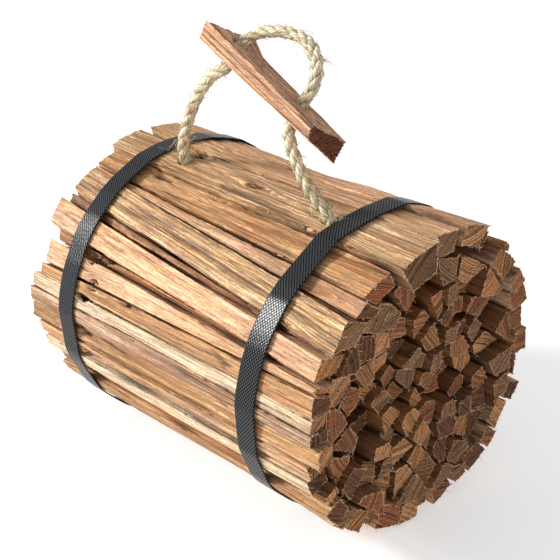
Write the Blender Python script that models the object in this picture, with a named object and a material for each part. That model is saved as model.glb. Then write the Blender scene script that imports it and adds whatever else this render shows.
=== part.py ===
"""A round bundle of split fatwood sticks, strapped twice, with a rope handle and a wooden grip.

The bundle lies along X, with its near end at +X. Lengths are metres, +Z is up, and the origin is
below the middle of the bundle, on the surface that it lies on.
"""
import math
import random
from collections import namedtuple
from itertools import combinations

import bmesh
import bpy
from mathutils import Vector

MM = 0.001
GAP = 0.3 * MM
SEED = 8

# Bundle
HALF_LENGTH = 100.0 * MM
RADIUS = 80.0 * MM
HEIGHT_RATIO = 0.97
TAPER = 0.0275
ROOT_RADIUS = 65.0 * MM
SIDE_GAP = 0.22 * MM
TIP_SLANT = 0.1

# Straps, each leaning a little: its middle is given at the bundle's bottom and at its top.
STRAP_WIDTH = 12.7 * MM
STRAP_THICKNESS = 0.7 * MM
STRAP_PLACES = {"strap_far": (-78.0 * MM, -70.0 * MM), "strap_near": (56.5 * MM, 65.5 * MM)}
LAP_STEP = 0.3 * MM
LAP_ANGLES = (8.0, 38.0)
ROUNDED_TURN = 5.0

# The two lowest sticks share one flat face, which sets how high the bundle's axis lies.
FLAT_HALF_ANGLE = math.radians(10.0)
FLAT_PROUD = 1.0
FLAT_DEPTH = (RADIUS + FLAT_PROUD * MM) * math.cos(FLAT_HALF_ANGLE) + SIDE_GAP * math.sin(FLAT_HALF_ANGLE)
FLAT_MIDDLE = (FLAT_DEPTH - RADIUS) / MM
BASE_HEIGHT = GAP + STRAP_THICKNESS
AXIS_HEIGHT = HEIGHT_RATIO * FLAT_DEPTH + BASE_HEIGHT

# Outer sticks, going round from the top of the bundle down the side that faces -Y. A stick spans
# from its own first angle to the next stick's, 90 at the top and 180 at -Y, given at two stations
# along the bundle. Its other sizes are millimetres: how proud its two outer corners stand, the
# ridge between them, its inner face's depth, and its tips past the bundle's half length. Two
# neighbours meet on a line that stays put at the root radius and turns with x further out.
ANGLE_STATIONS = (-66.0 * MM, 54.0 * MM)
Row = namedtuple("Row", "far_angle near_angle proud_a proud_b ridge depth far_tip near_tip tone")
OUTER_STICKS = [
    Row(81.0, 80.0, -0.5, 0.0, 0.4, 12.0, 0.5, 3.0, "pale"),
    Row(95.0, 93.2, 0.8, 0.8, 0.6, 15.0, 1.5, 7.5, "weathered"),
    Row(110.8, 112.5, -2.2, -1.2, 0.5, 12.0, -5.0, 1.0, "tan"),
    Row(121.2, 126.0, -2.5, -2.0, 0.2, 12.0, -7.0, 3.0, "pale"),
    Row(124.4, 132.5, 0.0, 0.2, 0.8, 12.5, -5.5, 2.0, "weathered"),
    Row(136.0, 145.7, -2.0, -2.5, 0.1, 11.0, -5.0, -3.0, "red"),
    Row(140.2, 147.8, 0.3, 0.0, 0.4, 12.0, 2.5, -1.5, "pale"),
    Row(150.6, 156.8, -2.8, -3.2, 0.2, 12.0, -3.0, -3.5, "amber"),
    Row(154.6, 158.8, -0.6, -0.6, 0.4, 12.0, -9.0, -1.0, "pale"),
    Row(163.7, 163.2, 0.0, -0.8, 0.3, 12.0, 2.5, 0.0, "amber"),
    Row(169.6, 170.8, -0.4, -0.2, 0.3, 11.0, 4.5, 0.0, "cream"),
    Row(175.2, 176.2, 0.0, -0.4, 0.4, 11.5, 8.0, 1.0, "grey"),
    Row(182.0, 182.0, -2.4, -0.8, 0.4, 12.0, 7.5, 4.0, "tan"),
    Row(190.0, 190.5, -0.6, -1.8, 0.3, 12.0, 5.0, -3.0, "pale"),
    Row(196.2, 197.2, 0.2, -0.2, 0.2, 11.0, 3.0, -4.0, "cream"),
    Row(203.0, 205.0, -3.0, -2.4, 0.3, 11.5, -2.0, 0.5, "amber"),
    Row(211.0, 211.5, -0.4, -0.2, 0.6, 12.0, 0.0, 1.5, "tan"),
    Row(220.5, 221.0, -1.5, -2.4, 0.3, 12.0, -3.0, -2.0, "pale"),
    Row(228.0, 229.5, 0.0, 0.2, 0.5, 12.0, 1.0, 2.0, "tan"),
    Row(239.0, 239.0, -1.8, -0.8, 0.3, 11.0, -4.0, -3.5, "red"),
    Row(247.5, 247.5, 0.2, 0.3, 0.4, 12.0, 2.0, 1.0, "pale"),
    Row(260.0, 260.0, FLAT_PROUD, FLAT_MIDDLE, 0.0, 12.0, -1.0, 3.0, "tan"),
    Row(270.0, 270.0, FLAT_MIDDLE, FLAT_PROUD, 0.0, 12.0, 3.0, -1.0, "pale"),
    Row(280.0, 280.0, 0.4, 0.2, 0.4, 12.0, 0.0, 2.5, "grey"),
    Row(292.0, 292.5, -1.8, -2.2, 0.4, 11.0, -3.0, -4.0, "amber"),
    Row(301.0, 300.0, -0.2, 0.3, 0.6, 12.0, 3.5, 1.0, "tan"),
    Row(312.0, 312.0, -1.2, -2.0, 0.4, 12.0, -1.0, -2.5, "pale"),
    Row(321.5, 320.5, 0.0, 0.0, 0.3, 12.0, 2.0, 2.0, "weathered"),
    Row(333.5, 333.0, -2.2, -1.0, 0.5, 11.0, 0.0, 3.0, "red"),
    Row(343.0, 342.5, 0.2, -0.4, 0.3, 12.0, -4.0, -1.0, "tan"),
    Row(354.0, 354.5, -0.6, 0.2, 0.5, 12.0, 2.5, 2.5, "pale"),
    Row(365.0, 365.0, -2.4, -1.8, 0.3, 11.5, -1.0, -3.0, "amber"),
    Row(375.0, 376.0, 0.2, 0.4, 0.3, 12.0, 3.0, 1.5, "cream"),
    Row(387.0, 387.5, -1.0, -1.8, 0.5, 12.0, -2.0, -2.0, "tan"),
    Row(397.5, 397.0, 0.2, -0.2, 0.4, 12.0, 1.0, 0.0, "pale"),
    Row(409.0, 409.0, -5.0, -5.2, 0.2, 7.6, -55.0, 8.0, "amber"),
    Row(412.5, 412.5, -0.6, 0.2, 0.4, 12.0, 4.0, -7.0, "tan"),
    Row(426.5, 426.0, 0.0, -0.4, 0.6, 12.5, 2.0, 4.5, "pale"),
]
HANDLE_STICK = 1
SPLINTER = 35
INNER_STATIONS = (-36.0 * MM, 0.0, 32.0 * MM)
STATIONS = sorted([*(sum(ends) / 2.0 for ends in STRAP_PLACES.values()), *INNER_STATIONS])

# Inner sticks: seeds on a sunflower spiral, moved a little, each with the cell nearest to it.
INNER_COUNT = 82
INNER_RADIUS = 66.5 * MM
SEED_SHIFT = 2.6 * MM
SEPARATE_INNER = 17
FIVE_SIDED_SHARE = 0.3
INNER_TIP_RANGE = (-7.0 * MM, 1.0 * MM, 4.0 * MM)
TIP_STEP = 0.25 * MM
SNAP = 0.01 * MM

# Handle: its grip is a short stick, and its rope passes through two drilled holes in the grip.
GRIP_FAR = Vector((-27.0, -12.7, 141.0)) * MM
GRIP_NEAR = Vector((56.5, -25.4, 111.9)) * MM
GRIP_CORNERS = [(-6.9, 8.7), (12.1, -2.2), (5.2, -10.1), (-10.0, 3.4)]
GRIP_HOLE_STEPS = (0.14, 0.735)
GRIP_HOLE_RADIUS = 4.3 * MM
BOARD_HOLE_RADIUS = 3.9 * MM
BOARD_HOLE_ANGLE = 104.0
BOARD_HOLES = (-49.0 * MM, 54.6 * MM)
HOLE_SIDES = 20
CUTTER_LENGTH = 60.0 * MM

# The rope's route, in millimetres from the bundle's axis, from the far hole to the near one.
ROPE_DIAMETER = 6.35 * MM
ROPE_ROUTE = [
    (-49.0, -17.0, 68.8), (-49.0, -18.5, 75.0), (-49.0, -20.0, 80.8), (-48.2, -21.0, 87.4),
    (-44.9, -20.9, 97.3), (-40.2, -20.4, 108.4), (-33.4, -19.8, 118.9), (-26.0, -19.8, 126.2),
    (-20.6, -19.6, 129.4), (-17.0, -18.6, 131.7), (-15.5, -16.4, 134.4), (-15.3, -14.5, 136.9),
    (-15.2, -12.0, 140.2), (-13.9, -9.6, 143.4), (-9.6, -7.4, 146.8), (-2.1, -5.4, 149.5),
    (6.9, -3.8, 150.6), (17.5, -3.2, 150.0), (26.7, -4.2, 146.9), (33.2, -7.0, 141.6),
    (36.8, -10.8, 135.4), (37.0, -14.4, 129.6), (35.5, -17.4, 125.5), (34.5, -19.6, 122.8),
    (34.4, -22.0, 119.6), (34.4, -24.5, 116.3), (34.8, -26.2, 112.6), (36.6, -26.8, 106.6),
    (39.8, -26.2, 99.2), (43.8, -24.8, 90.6), (48.8, -22.7, 82.9), (53.9, -20.3, 76.7),
    (54.6, -18.5, 70.7), (54.6, -16.9, 64.6),
]
ROPE_STEP = 1.0

TONES = {
    "pale": (0.62, 0.42, 0.24, 1.0),
    "tan": (0.53, 0.32, 0.17, 1.0),
    "cream": (0.72, 0.55, 0.34, 1.0),
    "amber": (0.55, 0.29, 0.11, 1.0),
    "red": (0.45, 0.22, 0.12, 1.0),
    "grey": (0.42, 0.31, 0.25, 1.0),
    "weathered": (0.5, 0.38, 0.26, 1.0),
}
INNER_COLOUR = (0.3, 0.17, 0.1, 1.0)
STRAP_COLOUR = (0.02, 0.021, 0.024, 1.0)
ROPE_COLOUR = (0.72, 0.64, 0.44, 1.0)
GRIP_COLOUR = (0.42, 0.21, 0.12, 1.0)


def lerp(low, high, share):
    return low + (high - low) * share


def at_angle(degrees, radius):
    """A point of the bundle's section, counted from its axis, before the slight flattening."""
    angle = math.radians(degrees)
    return radius * math.cos(angle), radius * math.sin(angle)


def placed(x, point):
    """Where a point of the section lies at x, on a bundle that narrows slowly above a level base."""
    size = 1.0 - TAPER * x / HALF_LENGTH
    rise = AXIS_HEIGHT - BASE_HEIGHT + HEIGHT_RATIO * point[1]
    return Vector((x, point[0] * size, BASE_HEIGHT + rise * size))


def from_axis(x, y, z):
    """A point of the handle, given in millimetres from the bundle's axis."""
    return Vector((x * MM, y * MM, z * MM + AXIS_HEIGHT))


# Flat geometry of the section

def pairs(points):
    return list(zip(points, points[1:] + points[:1]))


def area(polygon):
    return 0.5 * sum(a[0] * b[1] - b[0] * a[1] for a, b in pairs(list(polygon)))


def clip(polygon, point, normal):
    """The part of a polygon behind the line through a point with this normal."""
    heights = [(p[0] - point[0]) * normal[0] + (p[1] - point[1]) * normal[1] for p in polygon]
    kept = []
    for (a, b), (height_a, height_b) in zip(pairs(polygon), pairs(heights)):
        if height_a <= 0.0:
            kept.append(a)
        if (height_a < 0.0 < height_b) or (height_b < 0.0 < height_a):
            share = height_a / (height_a - height_b)
            kept.append((lerp(a[0], b[0], share), lerp(a[1], b[1], share)))
    return kept


def outward(a, b):
    """The unit normal to the right of the line from a to b."""
    length = math.dist(a, b)
    return (b[1] - a[1]) / length, (a[0] - b[0]) / length


def inset(polygon, distance):
    """A convex polygon, anticlockwise, with each side moved in."""
    shrunk = list(polygon)
    for a, b in pairs(list(polygon)):
        normal = outward(a, b)
        line = (a[0] - normal[0] * distance, a[1] - normal[1] * distance)
        shrunk = clip(shrunk, line, normal)
    return shrunk


def hull(points):
    """The convex hull, anticlockwise."""
    ordered = sorted(set(points))
    halves = []
    for run in (ordered, ordered[::-1]):
        half = []
        for point in run:
            while len(half) > 1 and area((half[-2], half[-1], point)) <= 0.0:
                half.pop()
            half.append(point)
        halves.append(half[:-1])
    return halves[0] + halves[1]


# Building objects

def material(name, colour, roughness):
    made = bpy.data.materials.new(name)
    made.use_nodes = True
    shader = made.node_tree.nodes["Principled BSDF"]
    shader.inputs["Base Color"].default_value = colour
    shader.inputs["Roughness"].default_value = roughness
    made.diffuse_color = colour
    return made


def add_object(name, data, colour, roughness=0.7):
    piece = bpy.data.objects.new(name, data)
    data.materials.append(material(name, colour, roughness))
    bpy.context.collection.objects.link(piece)
    return piece


def finished(mesh, name):
    bmesh.ops.recalc_face_normals(mesh, faces=mesh.faces[:])
    data = bpy.data.meshes.new(name)
    mesh.to_mesh(data)
    mesh.free()
    return data


def loft(name, loops, closed=False):
    """A skin over loops of as many points each, capped at both ends unless it closes on itself."""
    mesh = bmesh.new()
    rows = [[mesh.verts.new(point) for point in loop] for loop in loops]
    joined = pairs(rows) if closed else list(zip(rows, rows[1:]))
    for row, following in joined:
        for (a, b), (c, d) in zip(pairs(row), pairs(following)):
            mesh.faces.new((a, b, d, c))
    if not closed:
        mesh.faces.new(rows[0])
        mesh.faces.new(rows[-1])
    return finished(mesh, name)


def drill(piece, start, direction, radius):
    """Cuts a round hole through a piece, along a line through start."""
    mesh = bmesh.new()
    bmesh.ops.create_cone(mesh, cap_ends=True, segments=HOLE_SIDES, radius1=radius, radius2=radius,
                          depth=CUTTER_LENGTH)
    name = f"{piece.name}_cutter"
    data = bpy.data.meshes.new(name)
    mesh.to_mesh(data)
    mesh.free()
    cutter = bpy.data.objects.new(name, data)
    cutter.location = start
    cutter.rotation_mode = "QUATERNION"
    cutter.rotation_quaternion = Vector((0.0, 0.0, 1.0)).rotation_difference(direction)
    cutter.hide_render = True
    cutter.display_type = "WIRE"
    bpy.context.collection.objects.link(cutter)
    hole = piece.modifiers.new("hole", "BOOLEAN")
    hole.operation = "DIFFERENCE"
    hole.solver = "EXACT"
    hole.object = cutter


# Outer sticks

class OuterStick:
    def __init__(self, row, following, draws):
        self.row = row
        self.first = (row.far_angle, row.near_angle)
        self.last = following
        self.far = -HALF_LENGTH - row.far_tip * MM
        self.near = HALF_LENGTH + row.near_tip * MM
        self.stations = [self.far, self.near]
        self.stations[1:1] = [x for x in STATIONS if self.far + 10.0 * MM < x < self.near - 10.0 * MM]
        self.waves = [draws.uniform(-1.0, 1.0) * row.ridge * MM for _ in self.stations]
        self.slants = [[draws.uniform(-TIP_SLANT, TIP_SLANT) for _ in range(2)] for _ in range(2)]

    def wave(self, x):
        """How far the outer face is tipped at x, one corner out and the other in."""
        x = min(max(x, self.far), self.near)
        ends = zip(zip(self.stations, self.waves), zip(self.stations[1:], self.waves[1:]))
        for (low, low_wave), (high, high_wave) in ends:
            if low <= x <= high:
                return lerp(low_wave, high_wave, (x - low) / (high - low))
        return 0.0

    def corner(self, ends, x, height, side):
        """A point on the line between this stick and a neighbour, clear of it by the side gap."""
        share = (x - ANGLE_STATIONS[0]) / (ANGLE_STATIONS[1] - ANGLE_STATIONS[0])
        root = at_angle(sum(ends) / 2.0, ROOT_RADIUS)
        top = at_angle(lerp(*ends, share), RADIUS)
        rise = 1.0 + height / (RADIUS - ROOT_RADIUS)
        away = outward(root, top)
        return tuple(lerp(p, q, rise) - side * SIDE_GAP * n for p, q, n in zip(root, top, away))

    def inner_edge(self, x):
        depth = -self.row.depth * MM
        return self.corner(self.first, x, depth, 1.0), self.corner(self.last, x, depth, -1.0)

    def section(self, x):
        """The five corners at x: outer, ridge, outer, inner, inner."""
        wave = self.wave(x)
        outer_a = self.corner(self.first, x, self.row.proud_a * MM + wave, 1.0)
        outer_b = self.corner(self.last, x, self.row.proud_b * MM - wave, -1.0)
        raised = [n * self.row.ridge * MM for n in outward(outer_a, outer_b)]
        middle = tuple(lerp(a, b, 0.5) + n for a, b, n in zip(outer_a, outer_b, raised))
        inner_a, inner_b = self.inner_edge(x)
        return [outer_a, middle, outer_b, inner_b, inner_a]

    def loops(self):
        return [slanted(x, self.section(x), self.slant(x)) for x in self.stations]

    def slant(self, x):
        if x == self.far:
            return self.slants[0]
        return self.slants[1] if x == self.near else (0.0, 0.0)


def slanted(x, section, slant):
    """A section's corners at x, its plane leaning by two slopes about its middle."""
    middle = [sum(values) / len(section) for values in zip(*section)]
    loop = []
    for y, z in section:
        lean = slant[0] * (y - middle[0]) + slant[1] * (z - middle[1])
        loop.append(placed(x + lean, (y, z)))
    return loop


def outer_sticks(draws):
    followings = [(row.far_angle, row.near_angle) for row in OUTER_STICKS[1:]]
    followings.append((OUTER_STICKS[0].far_angle + 360.0, OUTER_STICKS[0].near_angle + 360.0))
    return [OuterStick(row, following, draws) for row, following in zip(OUTER_STICKS, followings)]


def outer_name(number):
    special = {HANDLE_STICK: "handle_stick", SPLINTER: "splinter"}
    return special.get(number, f"outer_stick_{number + 1:02d}")


def build_outer(sticks):
    for number, stick in enumerate(sticks):
        name = outer_name(number)
        piece = add_object(name, loft(name, stick.loops()), TONES[stick.row.tone])
        if number == HANDLE_STICK:
            for x in BOARD_HOLES:
                direction = Vector((0.0, *at_angle(BOARD_HOLE_ANGLE, 1.0)))
                drill(piece, placed(x, at_angle(BOARD_HOLE_ANGLE, RADIUS)), direction, BOARD_HOLE_RADIUS)


# Inner sticks

Cell = namedtuple("Cell", "outline far near distance")


def tip(draws):
    low, mode, high = INNER_TIP_RANGE
    return round((HALF_LENGTH + draws.triangular(low, high, mode)) / TIP_STEP) * TIP_STEP


def inner_cells(sticks, draws):
    """Every inner stick's share of the section inside the outer sticks."""
    wide = 2.0 * RADIUS
    domain = [(-wide, -wide), (wide, -wide), (wide, wide), (-wide, wide)]
    for stick in sticks:
        for x in (stick.far, stick.near):
            a, b = stick.inner_edge(x)
            normal = outward(a, b)
            line = (a[0] - normal[0] * GAP, a[1] - normal[1] * GAP)
            domain = clip(domain, line, normal)
    seeds = []
    golden_angle = 180.0 * (3.0 - math.sqrt(5.0))
    for number in range(INNER_COUNT):
        y, z = at_angle(number * golden_angle, INNER_RADIUS * math.sqrt((number + 0.5) / INNER_COUNT) * 0.96)
        seeds.append((y + draws.uniform(-SEED_SHIFT, SEED_SHIFT), z + draws.uniform(-SEED_SHIFT, SEED_SHIFT)))
    cells = []
    for seed in seeds:
        outline = domain
        for other in seeds:
            if other is not seed and math.dist(seed, other) < INNER_RADIUS:
                middle = (lerp(seed[0], other[0], 0.5), lerp(seed[1], other[1], 0.5))
                outline = clip(outline, middle, (other[0] - seed[0], other[1] - seed[1]))
        cells.append(Cell(outline, -tip(draws), tip(draws), math.hypot(*seed)))
    return sorted(cells, key=lambda cell: -cell.distance)


def stick_outline(cell, draws):
    """A split stick's few corners, the largest shape on four or five of its cell's corners."""
    corners = 5 if draws.random() < FIVE_SIDED_SHARE else 4
    corners = min(corners, len(cell.outline))
    return inset(max(combinations(cell.outline, corners), key=area), GAP)


def build_separate_inner(cells, draws):
    for number, cell in enumerate(cells):
        name = f"inner_stick_{number + 1:02d}"
        outline = stick_outline(cell, draws)
        loops = []
        for x in (cell.far, cell.near):
            slant = [draws.uniform(-TIP_SLANT, TIP_SLANT) for _ in range(2)]
            loops.append(slanted(x, outline, slant))
        add_object(name, loft(name, loops), INNER_COLOUR)


class Core:
    """The other inner sticks pressed side by side, each reaching its own two tips."""

    def __init__(self, cells):
        self.mesh = bmesh.new()
        self.verts = {}
        self.heights = {}
        self.sides = {}
        self.cells = cells
        for number, cell in enumerate(cells):
            keys = [(round(y / SNAP), round(z / SNAP)) for y, z in cell.outline]
            keys = [a for a, b in pairs(keys) if a != b]
            for key in keys:
                self.heights.setdefault(key, set()).update((cell.far, cell.near))
            for side in pairs(keys):
                self.sides[side] = number
            for x in (cell.far, cell.near):
                self.mesh.faces.new([self.vert(key, x) for key in keys])
        for (a, b), number in self.sides.items():
            self.close_side(a, b, cells[number], self.sides.get((b, a)))

    def vert(self, key, x):
        if (key, x) not in self.verts:
            self.verts[key, x] = self.mesh.verts.new(placed(x, (key[0] * SNAP, key[1] * SNAP)))
        return self.verts[key, x]

    def close_side(self, a, b, cell, beyond):
        if beyond is None:
            self.wall(a, b, cell.far, cell.near)
        elif self.sides[a, b] < beyond:
            for mine, other in zip((cell.far, cell.near), (self.cells[beyond].far, self.cells[beyond].near)):
                if mine != other:
                    self.wall(a, b, min(mine, other), max(mine, other))

    def wall(self, a, b, low, high):
        """A flat wall between two edges along X, which pass every neighbour's tip on their way."""
        left, right = [[self.vert(key, x) for x in sorted(self.heights[key]) if low <= x <= high]
                       for key in (a, b)]
        while len(left) > 1 or len(right) > 1:
            climb_left = len(right) == 1 or (len(left) > 1 and left[1].co.x <= right[1].co.x)
            rising = left if climb_left else right
            self.mesh.faces.new((left[0], right[0], rising[1]))
            rising.pop(0)


def build_core(cells):
    add_object("inner_sticks", finished(Core(cells).mesh, "inner_sticks"), INNER_COLOUR)


# Straps

def strap_middle(name, height):
    return lerp(*STRAP_PLACES[name], height / (2.0 * AXIS_HEIGHT))


def strap_path(sticks, name):
    """The taut line of a strap round the proud corners, as points with their outward directions."""
    corners = []
    for stick in sticks:
        centre = strap_middle(name, placed(0.0, stick.section(0.0)[1]).z)
        for side in (-0.5, 0.0, 0.5):
            x = centre + side * STRAP_WIDTH
            corners += [tuple(placed(x, point).yz) for point in stick.section(x)[:3]]
    outline = hull(corners)
    normals = [outward(a, b) for a, b in pairs(outline)]
    path = []
    for index, corner in enumerate(outline):
        before, after = normals[index - 1], normals[index]
        between = [lerp(p, q, 0.5) for p, q in zip(before, after)]
        length = math.hypot(*between)
        turn = 2.0 * math.degrees(math.acos(min(1.0, length)))
        spread = [between] if turn < ROUNDED_TURN else [before, between, after]
        path += [(corner, (d[0] / math.hypot(*d), d[1] / math.hypot(*d))) for d in spread]
    return path


def lapped(path):
    """The path with its thickness: double between two steps, where the strap's ends are welded."""
    def angle(entry):
        y, z = entry[0]
        return math.degrees(math.atan2(z - AXIS_HEIGHT, y)) % 360.0

    whole = []
    for entry, following in pairs(path):
        inside = LAP_ANGLES[0] < angle(entry) < LAP_ANGLES[1]
        whole.append((*entry, 2.0 if inside else 1.0))
        for step in LAP_ANGLES:
            if angle(entry) <= step < angle(following):
                length = math.dist(entry[0], following[0])
                for layers, share in ((0, 0.5), (1, 0.5 + LAP_STEP / length)):
                    point = tuple(lerp(p, q, share) for p, q in zip(entry[0], following[0]))
                    rising = step == LAP_ANGLES[0]
                    whole.append((point, outward(entry[0], following[0]), 1.0 + (layers == rising)))
    return whole


def build_strap(name, sticks):
    loops = []
    for corner, normal, layers in lapped(strap_path(sticks, name)):
        loop = []
        inner, outer = GAP, GAP + layers * STRAP_THICKNESS
        for side, out in ((-0.5, inner), (0.5, inner), (0.5, outer), (-0.5, outer)):
            y, z = [p + n * out for p, n in zip(corner, normal)]
            loop.append(Vector((strap_middle(name, z) + side * STRAP_WIDTH, y, z)))
        loops.append(loop)
    add_object(name, loft(name, loops, closed=True), STRAP_COLOUR, 0.35)


# Handle

def build_grip():
    loops = [[from_axis(*(end / MM)) + Vector((0.0, y * MM, z * MM)) for y, z in GRIP_CORNERS]
             for end in (GRIP_FAR, GRIP_NEAR)]
    grip = add_object("handle_grip", loft("handle_grip", loops), GRIP_COLOUR)
    corners = [Vector((0.0, y, z)) for y, z in GRIP_CORNERS]
    direction = (corners[0] + corners[1] - corners[2] - corners[3]).normalized()
    for step in GRIP_HOLE_STEPS:
        drill(grip, from_axis(*(GRIP_FAR.lerp(GRIP_NEAR, step) / MM)), direction, GRIP_HOLE_RADIUS)


def smooth_points(route, spacing):
    """Points at an even spacing on the smooth curve through a route."""
    ends = [route[0] * 2.0 - route[1], *route, route[-1] * 2.0 - route[-2]]
    fine = []
    pieces = 16
    for before, start, end, after in zip(ends, ends[1:], ends[2:], ends[3:]):
        for step in range(pieces):
            t = step / pieces
            bend = (end - before) * t + (before * 2.0 - start * 5.0 + end * 4.0 - after) * t * t
            bend += (start * 3.0 - end * 3.0 + after - before) * t ** 3
            fine.append(start + bend * 0.5)
    fine.append(route[-1])
    lengths = [0.0]
    for a, b in zip(fine, fine[1:]):
        lengths.append(lengths[-1] + (b - a).length)
    count = round(lengths[-1] / spacing)
    points = []
    index = 0
    for number in range(count + 1):
        wanted = lengths[-1] * number / count
        while index < len(fine) - 2 and lengths[index + 1] < wanted:
            index += 1
        share = (wanted - lengths[index]) / (lengths[index + 1] - lengths[index])
        points.append(fine[index].lerp(fine[index + 1], share))
    return points


def build_rope():
    curve = bpy.data.curves.new("handle_rope", "CURVE")
    curve.dimensions = "3D"
    curve.bevel_depth = ROPE_DIAMETER / 2.0
    curve.bevel_resolution = 3
    curve.use_fill_caps = True
    points = smooth_points([from_axis(*point) for point in ROPE_ROUTE], ROPE_STEP * ROPE_DIAMETER)
    spline = curve.splines.new("POLY")
    spline.points.add(len(points) - 1)
    for point, place in zip(spline.points, points):
        point.co = (*place, 1.0)
    add_object("handle_rope", curve, ROPE_COLOUR, 0.9)


def main():
    for old in list(bpy.data.objects):
        bpy.data.objects.remove(old, do_unlink=True)
    draws = random.Random(SEED)
    sticks = outer_sticks(draws)
    cells = inner_cells(sticks, draws)
    build_outer(sticks)
    build_separate_inner(cells[:SEPARATE_INNER], draws)
    build_core(cells[SEPARATE_INNER:])
    for name in STRAP_PLACES:
        build_strap(name, sticks)
    build_grip()
    build_rope()


main()
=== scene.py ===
import math
from itertools import combinations

import bpy
import numpy as np
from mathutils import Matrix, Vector


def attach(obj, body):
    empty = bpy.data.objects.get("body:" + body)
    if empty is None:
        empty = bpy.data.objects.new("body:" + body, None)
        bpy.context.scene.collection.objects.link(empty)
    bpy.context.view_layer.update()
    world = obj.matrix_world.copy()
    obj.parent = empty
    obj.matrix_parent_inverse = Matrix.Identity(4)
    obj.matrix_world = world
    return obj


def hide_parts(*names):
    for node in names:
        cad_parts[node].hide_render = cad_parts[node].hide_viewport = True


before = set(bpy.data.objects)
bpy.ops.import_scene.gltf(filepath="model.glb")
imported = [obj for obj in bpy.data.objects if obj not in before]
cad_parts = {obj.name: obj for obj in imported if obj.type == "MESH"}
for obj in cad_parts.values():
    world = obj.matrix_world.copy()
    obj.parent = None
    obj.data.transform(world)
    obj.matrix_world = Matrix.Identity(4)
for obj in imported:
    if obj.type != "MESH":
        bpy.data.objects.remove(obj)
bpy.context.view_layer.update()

# Lengths in this script are millimetres until a mesh is made.
MM = 0.001
SEED = 5
OUTER_SEED = 100
INNER_SEED = 300
GRIP_SEED = 77

# How far apart a skin's points stand: across its outer sides, across its other sides, and along it
SEEN_STEPS = (0.45, 1.1, 1.7)
HIDDEN_STEPS = (0.9, 1.6, 3.2)
INNER_STEPS = (0.9, 0.9, 0.0)
INNER_TIP_ROWS = 12
GRIP_STEPS = (0.45, 0.45, 0.8)

# Bundle, as the solids are laid out
AXIS_HEIGHT = 78.41
BASE_HEIGHT = 1.0
TAPER = 0.0275 / 100.0
BOARD_HOLES = (-49.0, 54.6)
BOARD_HOLE_RADIUS = 3.9
HOLE_MARGIN = 0.8
TIP_SPREAD = 4.0

# Camera
CAMERA_PLACE = (407.4, -389.0, 342.2)
CAMERA_AZIMUTH = 46.22
CAMERA_ELEVATION = 23.37
CAMERA_LENS = 76.1

# Colours that the split faces are made of
TONES = {
    "pale": (0.78, 0.455, 0.22),
    "tan": (0.65, 0.355, 0.15),
    "cream": (0.88, 0.645, 0.39),
    "peach": (0.79, 0.45, 0.235),
    "amber": (0.55, 0.265, 0.095),
    "red": (0.6, 0.3, 0.135),
    "grey": (0.63, 0.41, 0.24),
    "straw": (0.79, 0.495, 0.24),
}

# Sticks in view, by number: colour, then how much resin, grey weathering, dark lines and relief each has.
OUTER_LOOKS = {
    "01": ("pale", 0.3, 0.1, 0.5, 0.8),
    "handle_stick": ("straw", 0.45, 0.35, 0.8, 0.9),
    "03": ("tan", 0.7, 0.1, 0.6, 1.0),
    "04": ("peach", 0.35, 0.3, 0.6, 1.0),
    "05": ("straw", 0.15, 0.5, 1.0, 1.1),
    "06": ("red", 0.6, 0.1, 0.9, 1.2),
    "07": ("peach", 0.1, 0.05, 0.35, 0.7),
    "08": ("amber", 0.8, 0.2, 0.8, 1.3),
    "09": ("peach", 0.2, 0.1, 0.35, 0.8),
    "10": ("tan", 0.35, 0.05, 0.7, 0.9),
    "11": ("cream", 0.1, 0.25, 0.6, 0.8),
    "12": ("grey", 0.45, 0.55, 0.9, 1.1),
    "13": ("tan", 0.35, 0.25, 0.7, 1.1),
    "14": ("pale", 0.25, 0.1, 0.6, 0.9),
    "15": ("cream", 0.2, 0.2, 0.6, 0.9),
    "16": ("amber", 0.9, 0.1, 0.7, 1.1),
    "17": ("tan", 0.45, 0.15, 0.7, 0.9),
    "18": ("pale", 0.3, 0.25, 0.6, 0.9),
    "19": ("straw", 0.3, 0.25, 0.7, 1.0),
    "20": ("red", 0.6, 0.2, 0.6, 1.0),
    "38": ("peach", 0.2, 0.1, 0.5, 0.8),
    "splinter": ("amber", 1.0, 0.0, 0.9, 0.5),
}
OTHER_LOOKS = [("tan", 0.4, 0.15, 0.6, 1.0), ("pale", 0.3, 0.2, 0.6, 0.9), ("grey", 0.2, 0.7, 0.9, 1.2),
               ("peach", 0.2, 0.15, 0.4, 0.8), ("straw", 0.3, 0.4, 0.8, 1.1), ("amber", 0.7, 0.1, 0.7, 1.0)]
# Sides of the sticks deep in the bundle: wood colours darkened as painted shade, for the shade between them
INNER_TONES_WITH_PAINTED_SHADE = [(0.25, 0.1, 0.028), (0.29, 0.128, 0.038), (0.2, 0.075, 0.023), (0.34, 0.14, 0.036),
               (0.25, 0.118, 0.047), (0.18, 0.08, 0.035)]
END_TONES = [(0.2, 0.076, 0.033), (0.26, 0.112, 0.045), (0.19, 0.088, 0.038), (0.22, 0.076, 0.03),
             (0.36, 0.17, 0.072), (0.18, 0.095, 0.046), (0.3, 0.13, 0.048), (0.11, 0.042, 0.019)]
BOARD_END_TONE = (0.13, 0.062, 0.028)
GRIP_TONE = (0.88, 0.5, 0.27)
GRIP_END_TONE = (0.11, 0.03, 0.015)

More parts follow.
